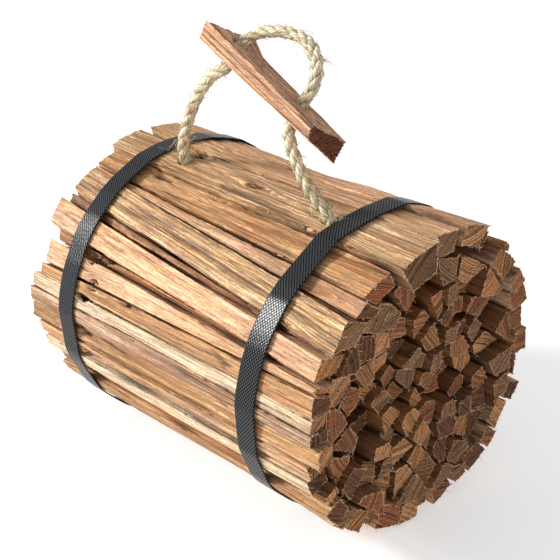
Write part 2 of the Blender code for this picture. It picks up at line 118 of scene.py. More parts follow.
# Colours with an alpha of 1, for the shaders
RESIN = (0.3, 0.095, 0.02, 1.0)
WEATHERED = (0.26, 0.145, 0.085, 1.0)
DARK_LINE = (0.09, 0.032, 0.012, 1.0)
# Near-black for knot and resin stains, and painted shade inside pockets, knot holes, slots, checks and hole
# mouths
STAIN_AND_SHADE = (0.022, 0.009, 0.005, 1.0)
SAWDUST = (0.16, 0.09, 0.046, 1.0)
TORN_RIM = (0.85, 0.58, 0.36, 1.0)
TORN_COLOURS = ((0.9, 0.66, 0.42, 1.0), (0.6, 0.34, 0.15, 1.0))
ROPE_COLOURS = ((0.62, 0.5, 0.3, 1.0), (0.85, 0.77, 0.56, 1.0))
HAIR_COLOURS = ((0.33, 0.25, 0.14, 1.0), (0.75, 0.62, 0.38, 1.0))
# Near-black painted shade in the grooves between the strap's woven diamonds
STRAP_GROOVE_SHADE = (0.0012, 0.0012, 0.0014, 1.0)
STRAP_RAISED = (0.042, 0.045, 0.049, 1.0)
STRAP_SCUFF = (0.06, 0.062, 0.068, 1.0)

# How the pale, the resin-rich and the bleached grain differ from a stick's colour
PALE_GRAIN = (1.07, 1.13, 1.36)
ORANGE_GRAIN = (0.95, 0.72, 0.5)
BLEACHED_GRAIN = (1.2, 1.4, 1.9)

# Hollows in the near end: y, z, radius and how much deeper the sticks end there
HOLLOWS = [(-4.6, 121.9, 12.0, 13.0), (48.6, 97.7, 7.0, 10.0), (17.9, 86.6, 6.5, 9.0),
           (-56.3, 93.1, 6.0, 7.0), (52.0, 38.6, 7.5, 10.0), (-51.3, 35.1, 7.0, 8.0)]

# Marks on the outer sticks: place along the bundle, angle round it, half length, half width,
# depth and how dark it is. The darkness is a knot's or resin's stain, or near-black painted
# shade inside pockets, knot holes, slots and checks.
MARKS = [
    # knot in the board and its torn, resin-dark lower edge
    (1.5, 101.8, 7.5, 2.6, 0.3, 0.75),
    (12.0, 102.6, 9.0, 0.9, 0.4, 0.45),
    (-8.2, 113.4, 5.5, 1.8, 1.4, 0.66),
    (9.1, 113.6, 4.5, 1.3, 1.2, 0.62),
    (20.0, 112.4, 6.0, 2.0, 1.4, 0.56),
    (37.0, 112.2, 7.0, 1.3, 1.0, 0.5),
    # knot hole and slots in the peach stick, painted near-black as shade inside them
    (-54.2, 161.8, 3.4, 1.1, 3.0, 1.0),
    (-55.6, 164.8, 3.0, 1.1, 3.0, 1.0),
    (-24.0, 164.6, 8.0, 0.8, 2.0, 1.0),
    # open pockets beside the straps, painted near-black as the shadow the strap casts into them
    (-45.0, 96.8, 7.0, 2.6, 4.5, 1.0),
    (-52.0, 113.6, 7.0, 1.8, 3.5, 1.0),
    (52.6, 113.2, 5.5, 2.0, 4.0, 1.0),
    (76.5, 114.0, 8.0, 2.4, 4.0, 1.0),
    (72.5, 132.3, 7.0, 1.9, 3.5, 1.0),
    (71.0, 147.8, 6.5, 1.9, 3.5, 1.0),
    (68.5, 159.6, 6.0, 1.7, 3.0, 1.0),
    (-54.5, 152.9, 9.5, 2.4, 4.0, 1.0),
    (-60.0, 169.4, 5.5, 1.5, 3.0, 1.0),
    (-62.0, 184.2, 5.5, 1.7, 3.0, 1.0),
    (-59.0, 193.2, 8.0, 1.8, 3.0, 1.0),
    # small checks and specks: the specks are stains, the checks get painted shade
    (-20.0, 175.8, 0.9, 1.3, 0.8, 0.75),
    (-53.0, 202.6, 6.0, 1.2, 0.6, 0.45),
    (88.0, 163.0, 1.2, 1.2, 0.8, 0.7),
]

# Tips that stand further out or in than in the solids, by the stick's number: how much longer its
# far and near ends are, and how far each of them stands up.
FAR_LONGER = {"handle_stick": -1.0, "01": -7.0, "03": 1.0, "04": 2.5, "05": 0.8, "06": 3.5, "07": -0.6,
              "08": -3.0, "09": 4.0, "10": -4.5, "12": -0.8, "13": 2.0, "15": -1.5, "16": 3.0}
NEAR_LONGER = {"splinter": -2.6, "01": 1.0, "19": -4.0, "20": -1.5, "21": -3.0, "22": -3.5, "23": -5.0,
               "24": -5.0, "25": 4.0, "26": -1.0, "27": 4.5, "28": -2.0, "30": -1.5, "32": 3.0,
               "33": 1.0, "34": 7.5, "35": 2.0, "37": 2.0, "38": 1.5}
FAR_RISE = {"01": 3.0, "03": 1.0, "04": 1.6, "05": 1.0, "09": 1.0}
NEAR_RISE = {"splinter": 6.2, "01": 0.8, "17": 0.6, "18": 1.4, "19": -1.2, "20": -1.8, "21": -1.8,
             "22": -1.7, "23": -1.2, "24": -0.6, "37": 1.8, "38": 1.6}
RISE_FROM = 66.0
RISE_TO = 88.0

# Sticks whose near half stands higher under the strap, by number
RAISED = {"01": 1.0, "17": 1.2, "18": 1.8, "19": 1.4, "37": 1.8, "38": 3.2}
RAISED_FROM = 0.0
RAISED_TO = 60.0
SPLINTER_SWELL = 1.45

# Straps
STRAP_WIDTH = 12.7
STRAP_THICKNESS = 0.7
LAP_ANGLES = (8.0, 38.0)
WEAVE_PITCH = 2.1
WEAVE_SLANT = 1.25
EDGE_WAVE = 0.07
LAP_GAP = 0.03
STRAP_EDGE = 0.22
STRAP_STEP = 0.9
LAYER_REACH = 1.9
LAYER_STEP = 0.45

# Handle
ROPE_DIAMETER = 6.35
ROPE_LAY = 21.0
ROPE_STEP = 0.8
STRAND_COLUMNS = 28
STRAND_OFFSET = 0.84
STRAND_SWELL = 1.13
STRAND_WANDER = 0.12
SWELL_HEIGHT = 0.08
YARNS = 7.0
YARN_HEIGHT = 0.17
YARN_TURN = 0.55
YARN_SLANT = 0.9
FIBRE_HEIGHT = 0.12
ROPE_ROUTE = [
    (-49.0, -17.0, 68.8), (-49.0, -18.5, 75.0), (-49.0, -20.0, 80.8), (-48.2, -21.0, 87.4),
    (-44.9, -20.9, 97.3), (-40.2, -20.4, 108.4), (-33.4, -19.8, 118.9), (-26.0, -19.8, 126.2),
    (-20.6, -19.6, 129.4), (-17.0, -18.6, 131.7), (-15.5, -16.4, 134.4), (-15.3, -14.5, 136.9),
    (-15.2, -12.0, 140.2), (-13.9, -9.6, 143.4), (-9.6, -7.4, 146.8), (-2.1, -5.4, 149.5),
    (6.9, -3.8, 150.6), (17.5, -3.2, 150.0), (26.7, -4.2, 146.9), (33.2, -7.0, 141.6),
    (36.8, -10.8, 135.4), (37.0, -14.4, 129.6), (35.5, -17.4, 125.5), (34.5, -19.6, 122.8),
    (34.4, -22.0, 119.6), (34.4, -24.5, 116.3), (34.8, -26.2, 112.6), (36.6, -26.8, 106.6),
    (39.8, -26.2, 99.2), (43.8, -24.8, 90.6), (48.8, -22.7, 82.9), (53.9, -20.3, 76.7),
    (54.6, -18.5, 70.7), (54.6, -16.9, 64.6),
]
GRIP_HOLES = [(-15.3, -14.5, 136.9), (34.4, -22.0, 119.6)]
GRIP_HOLE_WAY = (0.0, 0.604, 0.797)
GRIP_HOLE_RADIUS = 4.3
GRIP_SWELL = (1.56, 1.18)
GRIP_LONGER = -1.4
GRIP_SHIFT = (0.5, 0.6, 0.2)
GRIP_CORNER = (0.5, 2.4, 2.4)
GRIP_CORNER_REACH = 0.13
GRIP_CHIPS = [(-22.0, -3.0, 226.0, 4.5, 1.2), (38.0, -8.0, 199.5, 3.0, 1.2),
              (-8.0, -25.0, 208.0, 3.0, 0.8)]
FUZZ = 420
FUZZ_RADIUS = 0.17
FUZZ_BEND = 0.8
HAIR_TAPER = (1.0, 0.8, 0.5)
BOARD_HOLE_WAY = (0.0, -0.242, 0.97)

# Studio, in metres and watts
FLOOR_GLOW = 0.45
FLOOR_TONE = 0.62
FLOOR_REACH = 14.0
SKY_STRENGTH = 0.66
KEY_PLACE = (-2.5, -2.35, 1.85)
KEY_POWER = 166.0
KEY_SIZE = 0.75
SIDE_PLACE = (-2.38, -2.48, 0.95)
SIDE_POWER = 38.0
SIDE_SIZE = 0.35
LIGHT_COLOUR = (1.0, 0.98, 0.95)
LIGHT_TARGET = (0.0, 0.0, 0.08)
WHITE = (1.0, 1.0, 1.0, 1.0)

# Stick skins. A size is how far apart features stand across the grain and along it.
BEND_SIZE = (9.0, 70.0)
GRAIN_BEND = 1.2
BROAD_SIZE = (5.0, 80.0)
BROAD_HEIGHT = 0.2
RIDGE_SIZE = (1.4, 60.0)
RIDGE_HEIGHT = 0.2
FINE_SIZE = (0.8, 24.0)
FINE_HEIGHT = 0.12
SLAB_SIZE = (4.2, 95.0)
SLAB_HEIGHT = 0.35
SLAB_EDGE = 0.06
SPLIT_SIZE = (3.6, 90.0)
SPLIT_PATCH_SIZE = (8.0, 35.0)
SPLIT_WIDTH = 0.06
SPLIT_DEPTH = 0.8
SKIN_DEPTH = 0.5
ROUNDING = 0.5
CRUSH_SIZE = (0.9, 4.0)
CRUSH_LENGTH = 1.6
CRUSH_DEPTH = 0.5
TIP_PART = 28.0
HOLE_ROW_STEP = 0.45
CAP_RINGS = (1.0, 0.88, 0.74, 0.55, 0.3, 0.06)
CAP_BOW = 0.25
CAP_ROUGH = 0.12
STICK_GAP = 0.65
INNER_GAP = 0.35
INNER_ROUGH = 0.9
INNER_WEAR = (0.5, 0.1, 0.6)
GRIP_WEAR = (0.45, 0.15, 0.9)
BOARD_HOLE_DEPTH = 7.0
GRIP_HOLE_DEPTH = 3.4
MARKED_DEPTH = 5.0
LARGEST_SECTION = 235.0
CAP_FACING = 0.999
DEEPER_TIPS = 2.7
DEEPEST_TIP = 3.0 * DEEPER_TIPS
CORE_GAPS = (0.15, 0.75)
CORE_LEAN = 0.16
FIVE_SIDED = 0.3
TORN_DENSITY = 0.55
TORN_RADIUS = 0.17
TORN_BEND = 0.6
TORN_SPREAD = 0.45
FLOOR_CLEARANCE = 4.0
RAGGED = 0.2


# Repeatable noise

def scatter(a, b, seed):
    """Numbers from 0 to 1 that are fixed for each pair of whole numbers."""
    mixed = (a * 73856093) ^ (b * 19349663) ^ (seed * 83492791)
    mixed = ((mixed ^ (mixed >> 13)) & 0xFFFFFFFF) * 1274126177
    mixed = mixed & 0xFFFFFFFF
    return ((mixed ^ (mixed >> 15)) & 0xFFFF) / 65535.0


def noise(a, b, seed):
    """Smooth noise from -1 to 1, with features about one unit apart."""
    a, b = np.broadcast_arrays(np.asarray(a, float), np.asarray(b, float))
    left, low = np.floor(a), np.floor(b)
    across, up = a - left, b - low
    across = across * across * (3.0 - 2.0 * across)
    up = up * up * (3.0 - 2.0 * up)
    left, low = left.astype(np.int64), low.astype(np.int64)
    lower = scatter(left, low, seed) * (1 - across) + scatter(left + 1, low, seed) * across
    upper = scatter(left, low + 1, seed) * (1 - across) + scatter(left + 1, low + 1, seed) * across
    return 2.0 * (lower * (1 - up) + upper * up) - 1.0


def smooth(low, high, value):
    share = np.clip((value - low) / (high - low), 0.0, 1.0)
    return share * share * (3.0 - 2.0 * share)


# Reading the solids

def short(name):
    """An outer stick's number, or a name that has none as it is."""
    return name.replace("outer_stick_", "")


def vertex_places(data):
    points = np.empty(len(data.vertices) * 3)
    data.vertices.foreach_get("co", points)
    return points.reshape(-1, 3)


def node_points(name):
    return np.unique(vertex_places(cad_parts[name].data).round(6), axis=0) / MM


def around(points, centre):
    """Points in the order they have round a centre, anticlockwise seen from +X."""
    angles = np.arctan2(points[:, 2] - centre[2], points[:, 1] - centre[1])
    return points[np.argsort(angles)]


def stick_loops(name):
    """The corner loops of an outer stick, from its far tip to its near one.

    Each starts at the inner corner that comes first going round the bundle from +Y over the top.
    """
    points = node_points(name)
    if name == "handle_stick":
        for x in BOARD_HOLES:
            points = points[np.abs(points[:, 0] - x) > BOARD_HOLE_RADIUS + HOLE_MARGIN]
    breaks = np.where(np.diff(points[:, 0]) > TIP_SPREAD)[0] + 1
    clusters = np.split(points, breaks)
    loops = []
    for cluster in clusters:
        if len(cluster) == len(clusters[0]):
            radii = np.hypot(cluster[:, 1], cluster[:, 2] - AXIS_HEIGHT)
            middle = cluster.mean(0)
            facing = math.atan2(middle[2] - AXIS_HEIGHT, middle[1])
            angles = np.arctan2(cluster[:, 2] - AXIS_HEIGHT, cluster[:, 1]) - facing
            angles = (angles + math.pi) % (2.0 * math.pi) - math.pi
            inner = sorted(np.argsort(radii)[:2], key=lambda k: angles[k])
            outer = sorted(np.argsort(radii)[2:], key=lambda k: angles[k])
            loops.append(cluster[[inner[0], *outer, inner[1]]])
    loops = np.array(loops)
    number = short(name)
    loops[0, :, 0] -= FAR_LONGER.get(number, 0.0)
    loops[-1, :, 0] += NEAR_LONGER.get(number, 0.0)
    if name == "splinter":
        middles = loops.mean(1, keepdims=True)
        loops = middles + (loops - middles) * SPLINTER_SWELL
    x = loops[:, :, 0]
    rise = FAR_RISE.get(number, 0.0) * smooth(-RISE_FROM, -RISE_TO, x)
    rise = rise + NEAR_RISE.get(number, 0.0) * smooth(RISE_FROM, RISE_TO, x)
    rise = rise + RAISED.get(number, 0.0) * smooth(RAISED_FROM, RAISED_TO, x)
    way = loops.mean(1, keepdims=True) * (0.0, 1.0, 1.0) - (0.0, 0.0, AXIS_HEIGHT)
    return loops + rise[:, :, None] * way / np.linalg.norm(way, axis=2, keepdims=True)


def bar_loops(name):
    """The two end loops of a straight bar with the same corners at both ends."""
    points = node_points(name)
    middle = (points[:, 0].min() + points[:, 0].max()) / 2.0
    reach = (points[:, 0].max() - points[:, 0].min()) / 2.0 - TIP_SPREAD
    far = points[points[:, 0] < middle - reach]
    near = points[points[:, 0] > middle + reach]
    return matched(around(far, far.mean(0)), around(near, near.mean(0)))


def matched(far, near):
    """Two loops as an array, the second turned to start at the same corner as the first."""
    offset = near.mean(0) - far.mean(0)
    distances = [np.linalg.norm(np.roll(near, -k, axis=0) - far - offset, axis=1).sum()
                 for k in range(len(near))]
    return np.array([far, np.roll(near, -int(np.argmin(distances)), axis=0)])


def cap_outlines(name):
    """The outlines of the flat ends of the sticks in a node, as (x, corners) at either end."""
    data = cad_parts[name].data
    corners = [tuple(p) for p in (vertex_places(data) / MM).round(3)]
    data.calc_loop_triangles()
    flat = [t for t in data.loop_triangles if abs(t.normal.x) > CAP_FACING]
    triangles = [[corners[v] for v in t.vertices] for t in flat]
    groups = []
    for triangle in triangles:
        edges = {frozenset(pair) for pair in combinations(triangle, 2)}
        joined = [group for group in groups if not edges.isdisjoint(group[0])]
        for group in joined:
            groups.remove(group)
        known = set().union(edges, *[group[0] for group in joined])
        members = [triangle, *[t for group in joined for t in group[1]]]
        groups.append((known, members))
    outlines = []
    for _, members in groups:
        uses = {}
        for triangle in members:
            for pair in combinations(triangle, 2):
                uses[frozenset(pair)] = uses.get(frozenset(pair), 0) + 1
        rim = {corner for pair, count in uses.items() if count == 1 for corner in pair}
        rim = np.array(sorted(rim))
        outlines.append(around(rim, rim.mean(0)))
    return outlines


def straightened(outline):
    """A section with the bundle's taper taken out."""
    size = 1.0 - TAPER * outline[:, 0].mean()
    return np.column_stack([outline[:, 1] / size, (outline[:, 2] - BASE_HEIGHT) / size])


def polygon_area(outline):
    y, z = outline[:, 0], outline[:, 1]
    return 0.5 * np.sum(y * np.roll(z, -1) - z * np.roll(y, -1))


def shrunk(outline, distance):
    """A convex section, anticlockwise, with its sides moved in."""
    sides = np.roll(outline, -1, axis=0) - outline
    ways = sides / np.linalg.norm(sides, axis=1)[:, None]
    normals = np.column_stack([-ways[:, 1], ways[:, 0]])
    moved = []
    for k, corner in enumerate(outline):
        rows = np.array([normals[k - 1], normals[k]])
        moved.append(corner + np.linalg.solve(rows, [distance, distance]))
    return np.array(moved)


def halved(outline):
    """The two parts of an outline that is cut across its longer way."""
    section = outline[:, 1:] - outline[:, 1:].mean(0)
    side = section @ np.linalg.svd(section)[2][0]
    parts = []
    for keep in (side, -side):
        part = []
        for k, corner in enumerate(outline):
            following = (k + 1) % len(outline)
            if keep[k] >= 0.0:
                part.append(corner)
            if keep[k] * keep[following] < 0.0:
                share = keep[k] / (keep[k] - keep[following])
                part.append(corner + (outline[following] - corner) * share)
        parts.append(np.array(part))
    return parts


def inner_loops(draws):
    """Loops of the sticks that one solid stands for: a few-cornered stick in each outline."""
    outlines = cap_outlines("inner_sticks")
    far = [o for o in outlines if o[0, 0] < 0.0]
    near = []
    for outline in outlines:
        if outline[0, 0] > 0.0:
            large = polygon_area(straightened(outline)) > LARGEST_SECTION
            near += halved(outline) if large else [outline]
    sticks = []
    for outline in near:
        section = straightened(outline)
        middle = section.mean(0)
        other = min(far, key=lambda o: np.linalg.norm(straightened(o).mean(0) - middle))
        corners = min(len(section), 5 if draws.random() < FIVE_SIDED else 4)
        choices = combinations(range(len(section)), corners)
        best = max(choices, key=lambda chosen: polygon_area(section[list(chosen)]))
        section = shrunk(section[list(best)], draws.uniform(*CORE_GAPS))
        loops = []
        recess = min(draws.exponential(DEEPER_TIPS), DEEPEST_TIP)
        for x in (other[0, 0], outline[0, 0] - recess):
            size = 1.0 - TAPER * x
            lean = draws.uniform(-CORE_LEAN, CORE_LEAN, 2)
            shift = (section - section.mean(0)) @ lean
            loops.append(np.column_stack([x + shift - abs(shift).max() * np.sign(x),
                                          section[:, 0] * size, section[:, 1] * size + BASE_HEIGHT]))
        sticks.append(np.array(loops))
    return sticks


# Meshes

def linked(name, data):
    """A new object in the scene."""
    made = bpy.data.objects.new(name, data)
    bpy.context.scene.collection.objects.link(made)
    return made


def mesh_object(name, points, quads, triangles=()):
    data = bpy.data.meshes.new(name)
    data.vertices.add(len(points))
    data.vertices.foreach_set("co", (np.asarray(points) * MM).ravel())
    quads = np.asarray(quads, int).reshape(-1, 4)
    triangles = np.asarray(triangles, int).reshape(-1, 3)
    data.loops.add(quads.size + triangles.size)
    data.loops.foreach_set("vertex_index", np.concatenate([quads.ravel(), triangles.ravel()]))
    count = len(quads) + len(triangles)
    data.polygons.add(count)
    starts = np.concatenate([np.arange(len(quads)) * 4, quads.size + np.arange(len(triangles)) * 3])
    data.polygons.foreach_set("loop_start", starts)
    data.update(calc_edges=True)
    data.polygons.foreach_set("use_smooth", np.full(count, True))
    piece = linked(name, data)
    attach(piece, "root")
    return piece


def set_values(piece, name, values):
    """Stores a number or a vector for each point."""
    values = np.ascontiguousarray(values, dtype=np.float32)
    kind, field = ("FLOAT", "value") if values.ndim == 1 else ("FLOAT_VECTOR", "vector")
    attribute = piece.data.attributes.new(name, kind, "POINT")
    attribute.data.foreach_set(field, values.ravel())


def grid_faces(rows, columns, start=0):
    """Four-cornered faces between rows of points that each close on themselves."""
    row, column = np.meshgrid(np.arange(rows - 1), np.arange(columns), indexing="ij")
    after = (column + 1) % columns
    a, b = row * columns + column, row * columns + after
    return np.column_stack([a.ravel(), b.ravel(), (b + columns).ravel(), (a + columns).ravel()]) + start


class Skin:
    """The rough skin of a split stick: a grid of points over its loops, with two sawn ends."""

    def __init__(self, loops, seed, fine, coarse, row_step, tip_rows=None, holes=()):
        self.loops = loops
        self.seed = seed
        self.holes = holes
        self.columns(fine, coarse)
        self.rows(row_step, tip_rows)
        self.lay()

    def columns(self, fine, coarse):
        """Where each column stands: its side and its share of it, finer on the outer sides."""
        middle = self.loops[len(self.loops) // 2]
        last_outer = len(middle) - 3
        lengths = np.linalg.norm(np.roll(middle, -1, axis=0) - middle, axis=1)
        sides, shares, run = [], [], []
        before = 0.0
        for k, length in enumerate(lengths):
            step = fine if 0 < k <= last_outer else coarse
            steps = max(3, int(round(length / step)))
            share = np.arange(steps) / steps
            sides.append(np.full(steps, k))
            shares.append(share)
            run.append(before + share * length)
            before += length
        self.side = np.concatenate(sides)
        self.share = np.concatenate(shares)
        self.run = np.concatenate(run)
        self.corner_distance = np.minimum(self.share, 1.0 - self.share) * lengths[self.side]
        self.is_outer = (self.side > 0) & (self.side <= last_outer)

    def rows(self, row_step, tip_rows):
        """Where each row stands, as a loop number with a fraction."""
        xs = self.loops[:, :, 0].mean(1)
        length = xs[-1] - xs[0]
        if tip_rows:
            near_tip = np.linspace(0.0, 1.0, tip_rows) ** 1.3 * TIP_PART
            middle = np.linspace(TIP_PART, length - TIP_PART, 7)[1:-1]
            places = np.concatenate([near_tip, middle, length - near_tip[::-1]])
        else:
            places = np.linspace(0.0, length, int(length / row_step))
        for centre, _, radius, _ in self.holes:
            place, reach = centre[0] - xs[0], radius + 1.0
            close = np.arange(place - radius - 1.0, place + radius + 1.1, HOLE_ROW_STEP)
            places = np.sort(np.concatenate([places[np.abs(places - place) > reach], close]))
        self.place = np.interp(places, xs - xs[0], np.arange(len(xs)))

    def lay(self):
        low = np.minimum(self.place.astype(int), len(self.loops) - 2)
        share = (self.place - low)[:, None, None]
        loops = self.loops[low] * (1 - share) + self.loops[low + 1] * share
        following = np.roll(loops, -1, axis=1)
        part = self.share[None, :, None]
        self.points = loops[:, self.side] * (1 - part) + following[:, self.side] * part
        ahead = np.roll(self.points, -1, axis=1) - np.roll(self.points, 1, axis=1)
        normals = np.stack([np.zeros(ahead.shape[:2]), ahead[:, :, 2], -ahead[:, :, 1]], axis=-1)
        self.normals = normals / np.linalg.norm(normals, axis=2)[:, :, None]

    def relief(self, rough, gap):
        """How far each point stands out of the plain skin: grain, splits, slabs and worn edges."""
        u, x, side = self.run[None, :], self.points[:, :, 0], self.side[None, :]

        def layer(size, number):
            return noise(u / size[0], x / size[1], self.seed + number)

        u = u + GRAIN_BEND * layer(BEND_SIZE, 0)
        broad = BROAD_HEIGHT * layer(BROAD_SIZE, 1)
        ridges = RIDGE_HEIGHT * layer(RIDGE_SIZE, 2)
        fine = FINE_HEIGHT * layer(FINE_SIZE, 3)
        slabs = SLAB_HEIGHT * smooth(-SLAB_EDGE, SLAB_EDGE, layer(SLAB_SIZE, 4))
        split = np.exp(-((layer(SPLIT_SIZE, 5) / SPLIT_WIDTH) ** 2))
        split = split * smooth(0.0, 0.4, layer(SPLIT_PATCH_SIZE, 6))
        height = rough * (broad + ridges + fine + slabs - SPLIT_DEPTH * split - SKIN_DEPTH)
        corner = np.exp(-((self.corner_distance / ROUNDING) ** 2))[None, :]
        height = height - corner * (0.25 + 0.25 * noise(x / 3.0, side, self.seed + 7))
        inward = np.where(self.is_outer, 0.0, 1.0)[None, :]
        height = height - inward * gap * (0.3 + 0.8 * noise(x / 24.0, side * 1.0, self.seed + 8))
        tip = np.exp(-np.minimum(x - x.min(), x.max() - x) / CRUSH_LENGTH)
        crushed = 0.45 + 0.55 * layer(CRUSH_SIZE, 9)
        return height - CRUSH_DEPTH * tip * crushed * crushed

    def shape(self, rough, gap):
        self.height = self.relief(rough, gap)
        self.flow = np.zeros(self.height.shape)
        self.points = self.points + self.normals * self.height[:, :, None]

    def mark(self, x, angle, half_length, half_width, depth):
        """Presses a knot or slot into the bundle's outside and gives how strongly it is darkened, as a stain
        or as painted shade in the hollow.
        """
        y, z = self.points[:, :, 1], self.points[:, :, 2] - AXIS_HEIGHT
        radius = np.hypot(y, z)
        turn = np.degrees(np.arctan2(z, y)) - angle
        turn = (turn + 180.0) % 360.0 - 180.0
        u = np.radians(turn) * AXIS_HEIGHT / half_width
        along = (self.points[:, :, 0] - x) / half_length
        u = u * (1.0 + 0.6 * np.clip(along, -1.0, 1.0)) + 0.5 * noise(along * 1.7, 2.0, self.seed + 60)
        outside = smooth(MARKED_DEPTH + 3.0, MARKED_DEPTH, radius.max() - radius)
        ragged = 0.75 + 0.4 * noise(self.run[None, :] / 0.8, self.points[:, :, 0] / 3.0, self.seed + 61)
        shape = np.exp(-((u * u + along * along) ** 2)) * outside * np.clip(ragged, 0.0, 1.0)
        self.points = self.points - self.normals * (depth * shape)[:, :, None]
        self.flow = self.flow - np.tanh(2.0 * u) * np.exp(-(u / 2.5) ** 2 - (along / 1.8) ** 2) * half_width
        return shape

    def chip(self, place, radius, depth):
        """Breaks a piece out of the skin near a place."""
        away = np.linalg.norm(self.points - np.array(place), axis=2) / radius
        away = away + 0.35 * noise(self.run[None, :] / 1.3, self.points[:, :, 0] / 2.0, self.seed + 70)
        self.points = self.points - self.normals * (depth * smooth(1.0, 0.6, away))[:, :, None]

    def drill(self):
        """Presses each hole's mouths into the skin and gives where they are, to be painted near-black as
        shade inside the holes.
        """
        inside = np.zeros(self.points.shape[:2])
        for centre, way, radius, depth in self.holes:
            offset = self.points - np.array(centre)
            along = offset @ np.array(way)
            facing = self.normals @ np.array(way)
            away = np.linalg.norm(offset - along[:, :, None] * np.array(way), axis=2)
            mouth = smooth(radius + 0.2, radius - 0.3, away) * (np.abs(facing) > 0.5)
            self.points = self.points - (mouth * depth * np.sign(facing))[:, :, None] * np.array(way)
            inside = np.maximum(inside, mouth)
        return inside

    def caps(self, bow):
        """Rings of points that close the two ends, with a rough sawn face."""
        caps = []
        for row, facing in ((0, -1.0), (len(self.points) - 1, 1.0)):
            rim = self.points[row]
            centre = rim.mean(0)
            rings = []
            for k, share in enumerate(CAP_RINGS):
                ring = centre + (rim - centre) * share
                rough = CAP_ROUGH * noise(ring[:, 1] / 0.7, ring[:, 2] / 0.7, self.seed + 20)
                ring[:, 0] += facing * (rough + bow * (1.0 - share ** 4) - 0.1) * (k > 0)
                rings.append(ring)
            caps.append(np.array(rings))
        return caps


# What the strap and the torn fibres follow, filled as the sticks are built
RAISED_LOOPS = []
TORN_RIMS = []


def build_stick(name, skin, tone, end_tone, wear, stain, materials):
    rows, columns = skin.points.shape[:2]
    skin.points[0, :, 0] += RAGGED * noise(skin.run / 0.7, 0.0, skin.seed + 31)
    skin.points[-1, :, 0] += RAGGED * noise(skin.run / 0.7, 3.0, skin.seed + 32)
    far_cap, near_cap = skin.caps(CAP_BOW)
    points = np.concatenate([skin.points.reshape(-1, 3), far_cap.reshape(-1, 3), near_cap.reshape(-1, 3)])
    side_count = rows * columns
    rings = len(far_cap)
    far_faces = grid_faces(rings, columns, side_count)[:, ::-1]
    near_faces = grid_faces(rings, columns, side_count + rings * columns)
    side_faces = grid_faces(rows, columns)
    piece = mesh_object(name, points, np.concatenate([side_faces, far_faces, near_faces]))
    sawn = np.zeros(len(piece.data.polygons), np.int32)
    sawn[len(side_faces):] = 1
    piece.data.polygons.foreach_set("material_index", sawn)
    for made in materials:
        piece.data.materials.append(made)
    cap_count = len(points) - side_count
    seeds = np.full(len(points), skin.seed * 7.13 % 97.0)
    run = np.concatenate([(skin.run + skin.flow).ravel(), np.tile(skin.run, 2 * rings)])
    TORN_RIMS.append((skin.points[0], skin.normals[0], -1.0))
    TORN_RIMS.append((skin.points[-1], skin.normals[-1], 1.0))
    set_values(piece, "skin", np.column_stack([run, points[:, 0], seeds]))
    turn = scatter(skin.seed, 3, 11) * 2.0 * math.pi
    far = 18.0 + 60.0 * scatter(skin.seed, 4, 12)
    centre = points[:, 1:].mean(0) + far * np.array([math.cos(turn), math.sin(turn)])
    ring = np.linalg.norm(points[:, 1:] - centre, axis=1)
    set_values(piece, "rings", np.column_stack([ring, points[:, 0], seeds]))
    rim = np.zeros(len(points))
    rim[side_count:side_count + columns] = 1.0
    rim[side_count + rings * columns:side_count + (rings + 1) * columns] = 1.0
    set_values(piece, "rim", rim)
    # Painted shade: a share that darkens the sides where they sink below the plain skin, in splits, rounded
    # corners and the gaps between sticks
    low = np.concatenate([np.clip(-skin.height / 1.1 - 0.2, 0.0, 1.0).ravel(), np.zeros(cap_count)])
    set_values(piece, "low", low)
    set_values(piece, "stain", np.concatenate([stain.ravel(), np.zeros(cap_count)]))
    colours = np.zeros((len(points), 3))
    colours[:side_count] = tone
    colours[side_count:] = end_tone
    set_values(piece, "tone", colours)
    set_values(piece, "wear", np.tile(wear, (len(points), 1)))
    return piece


# Materials

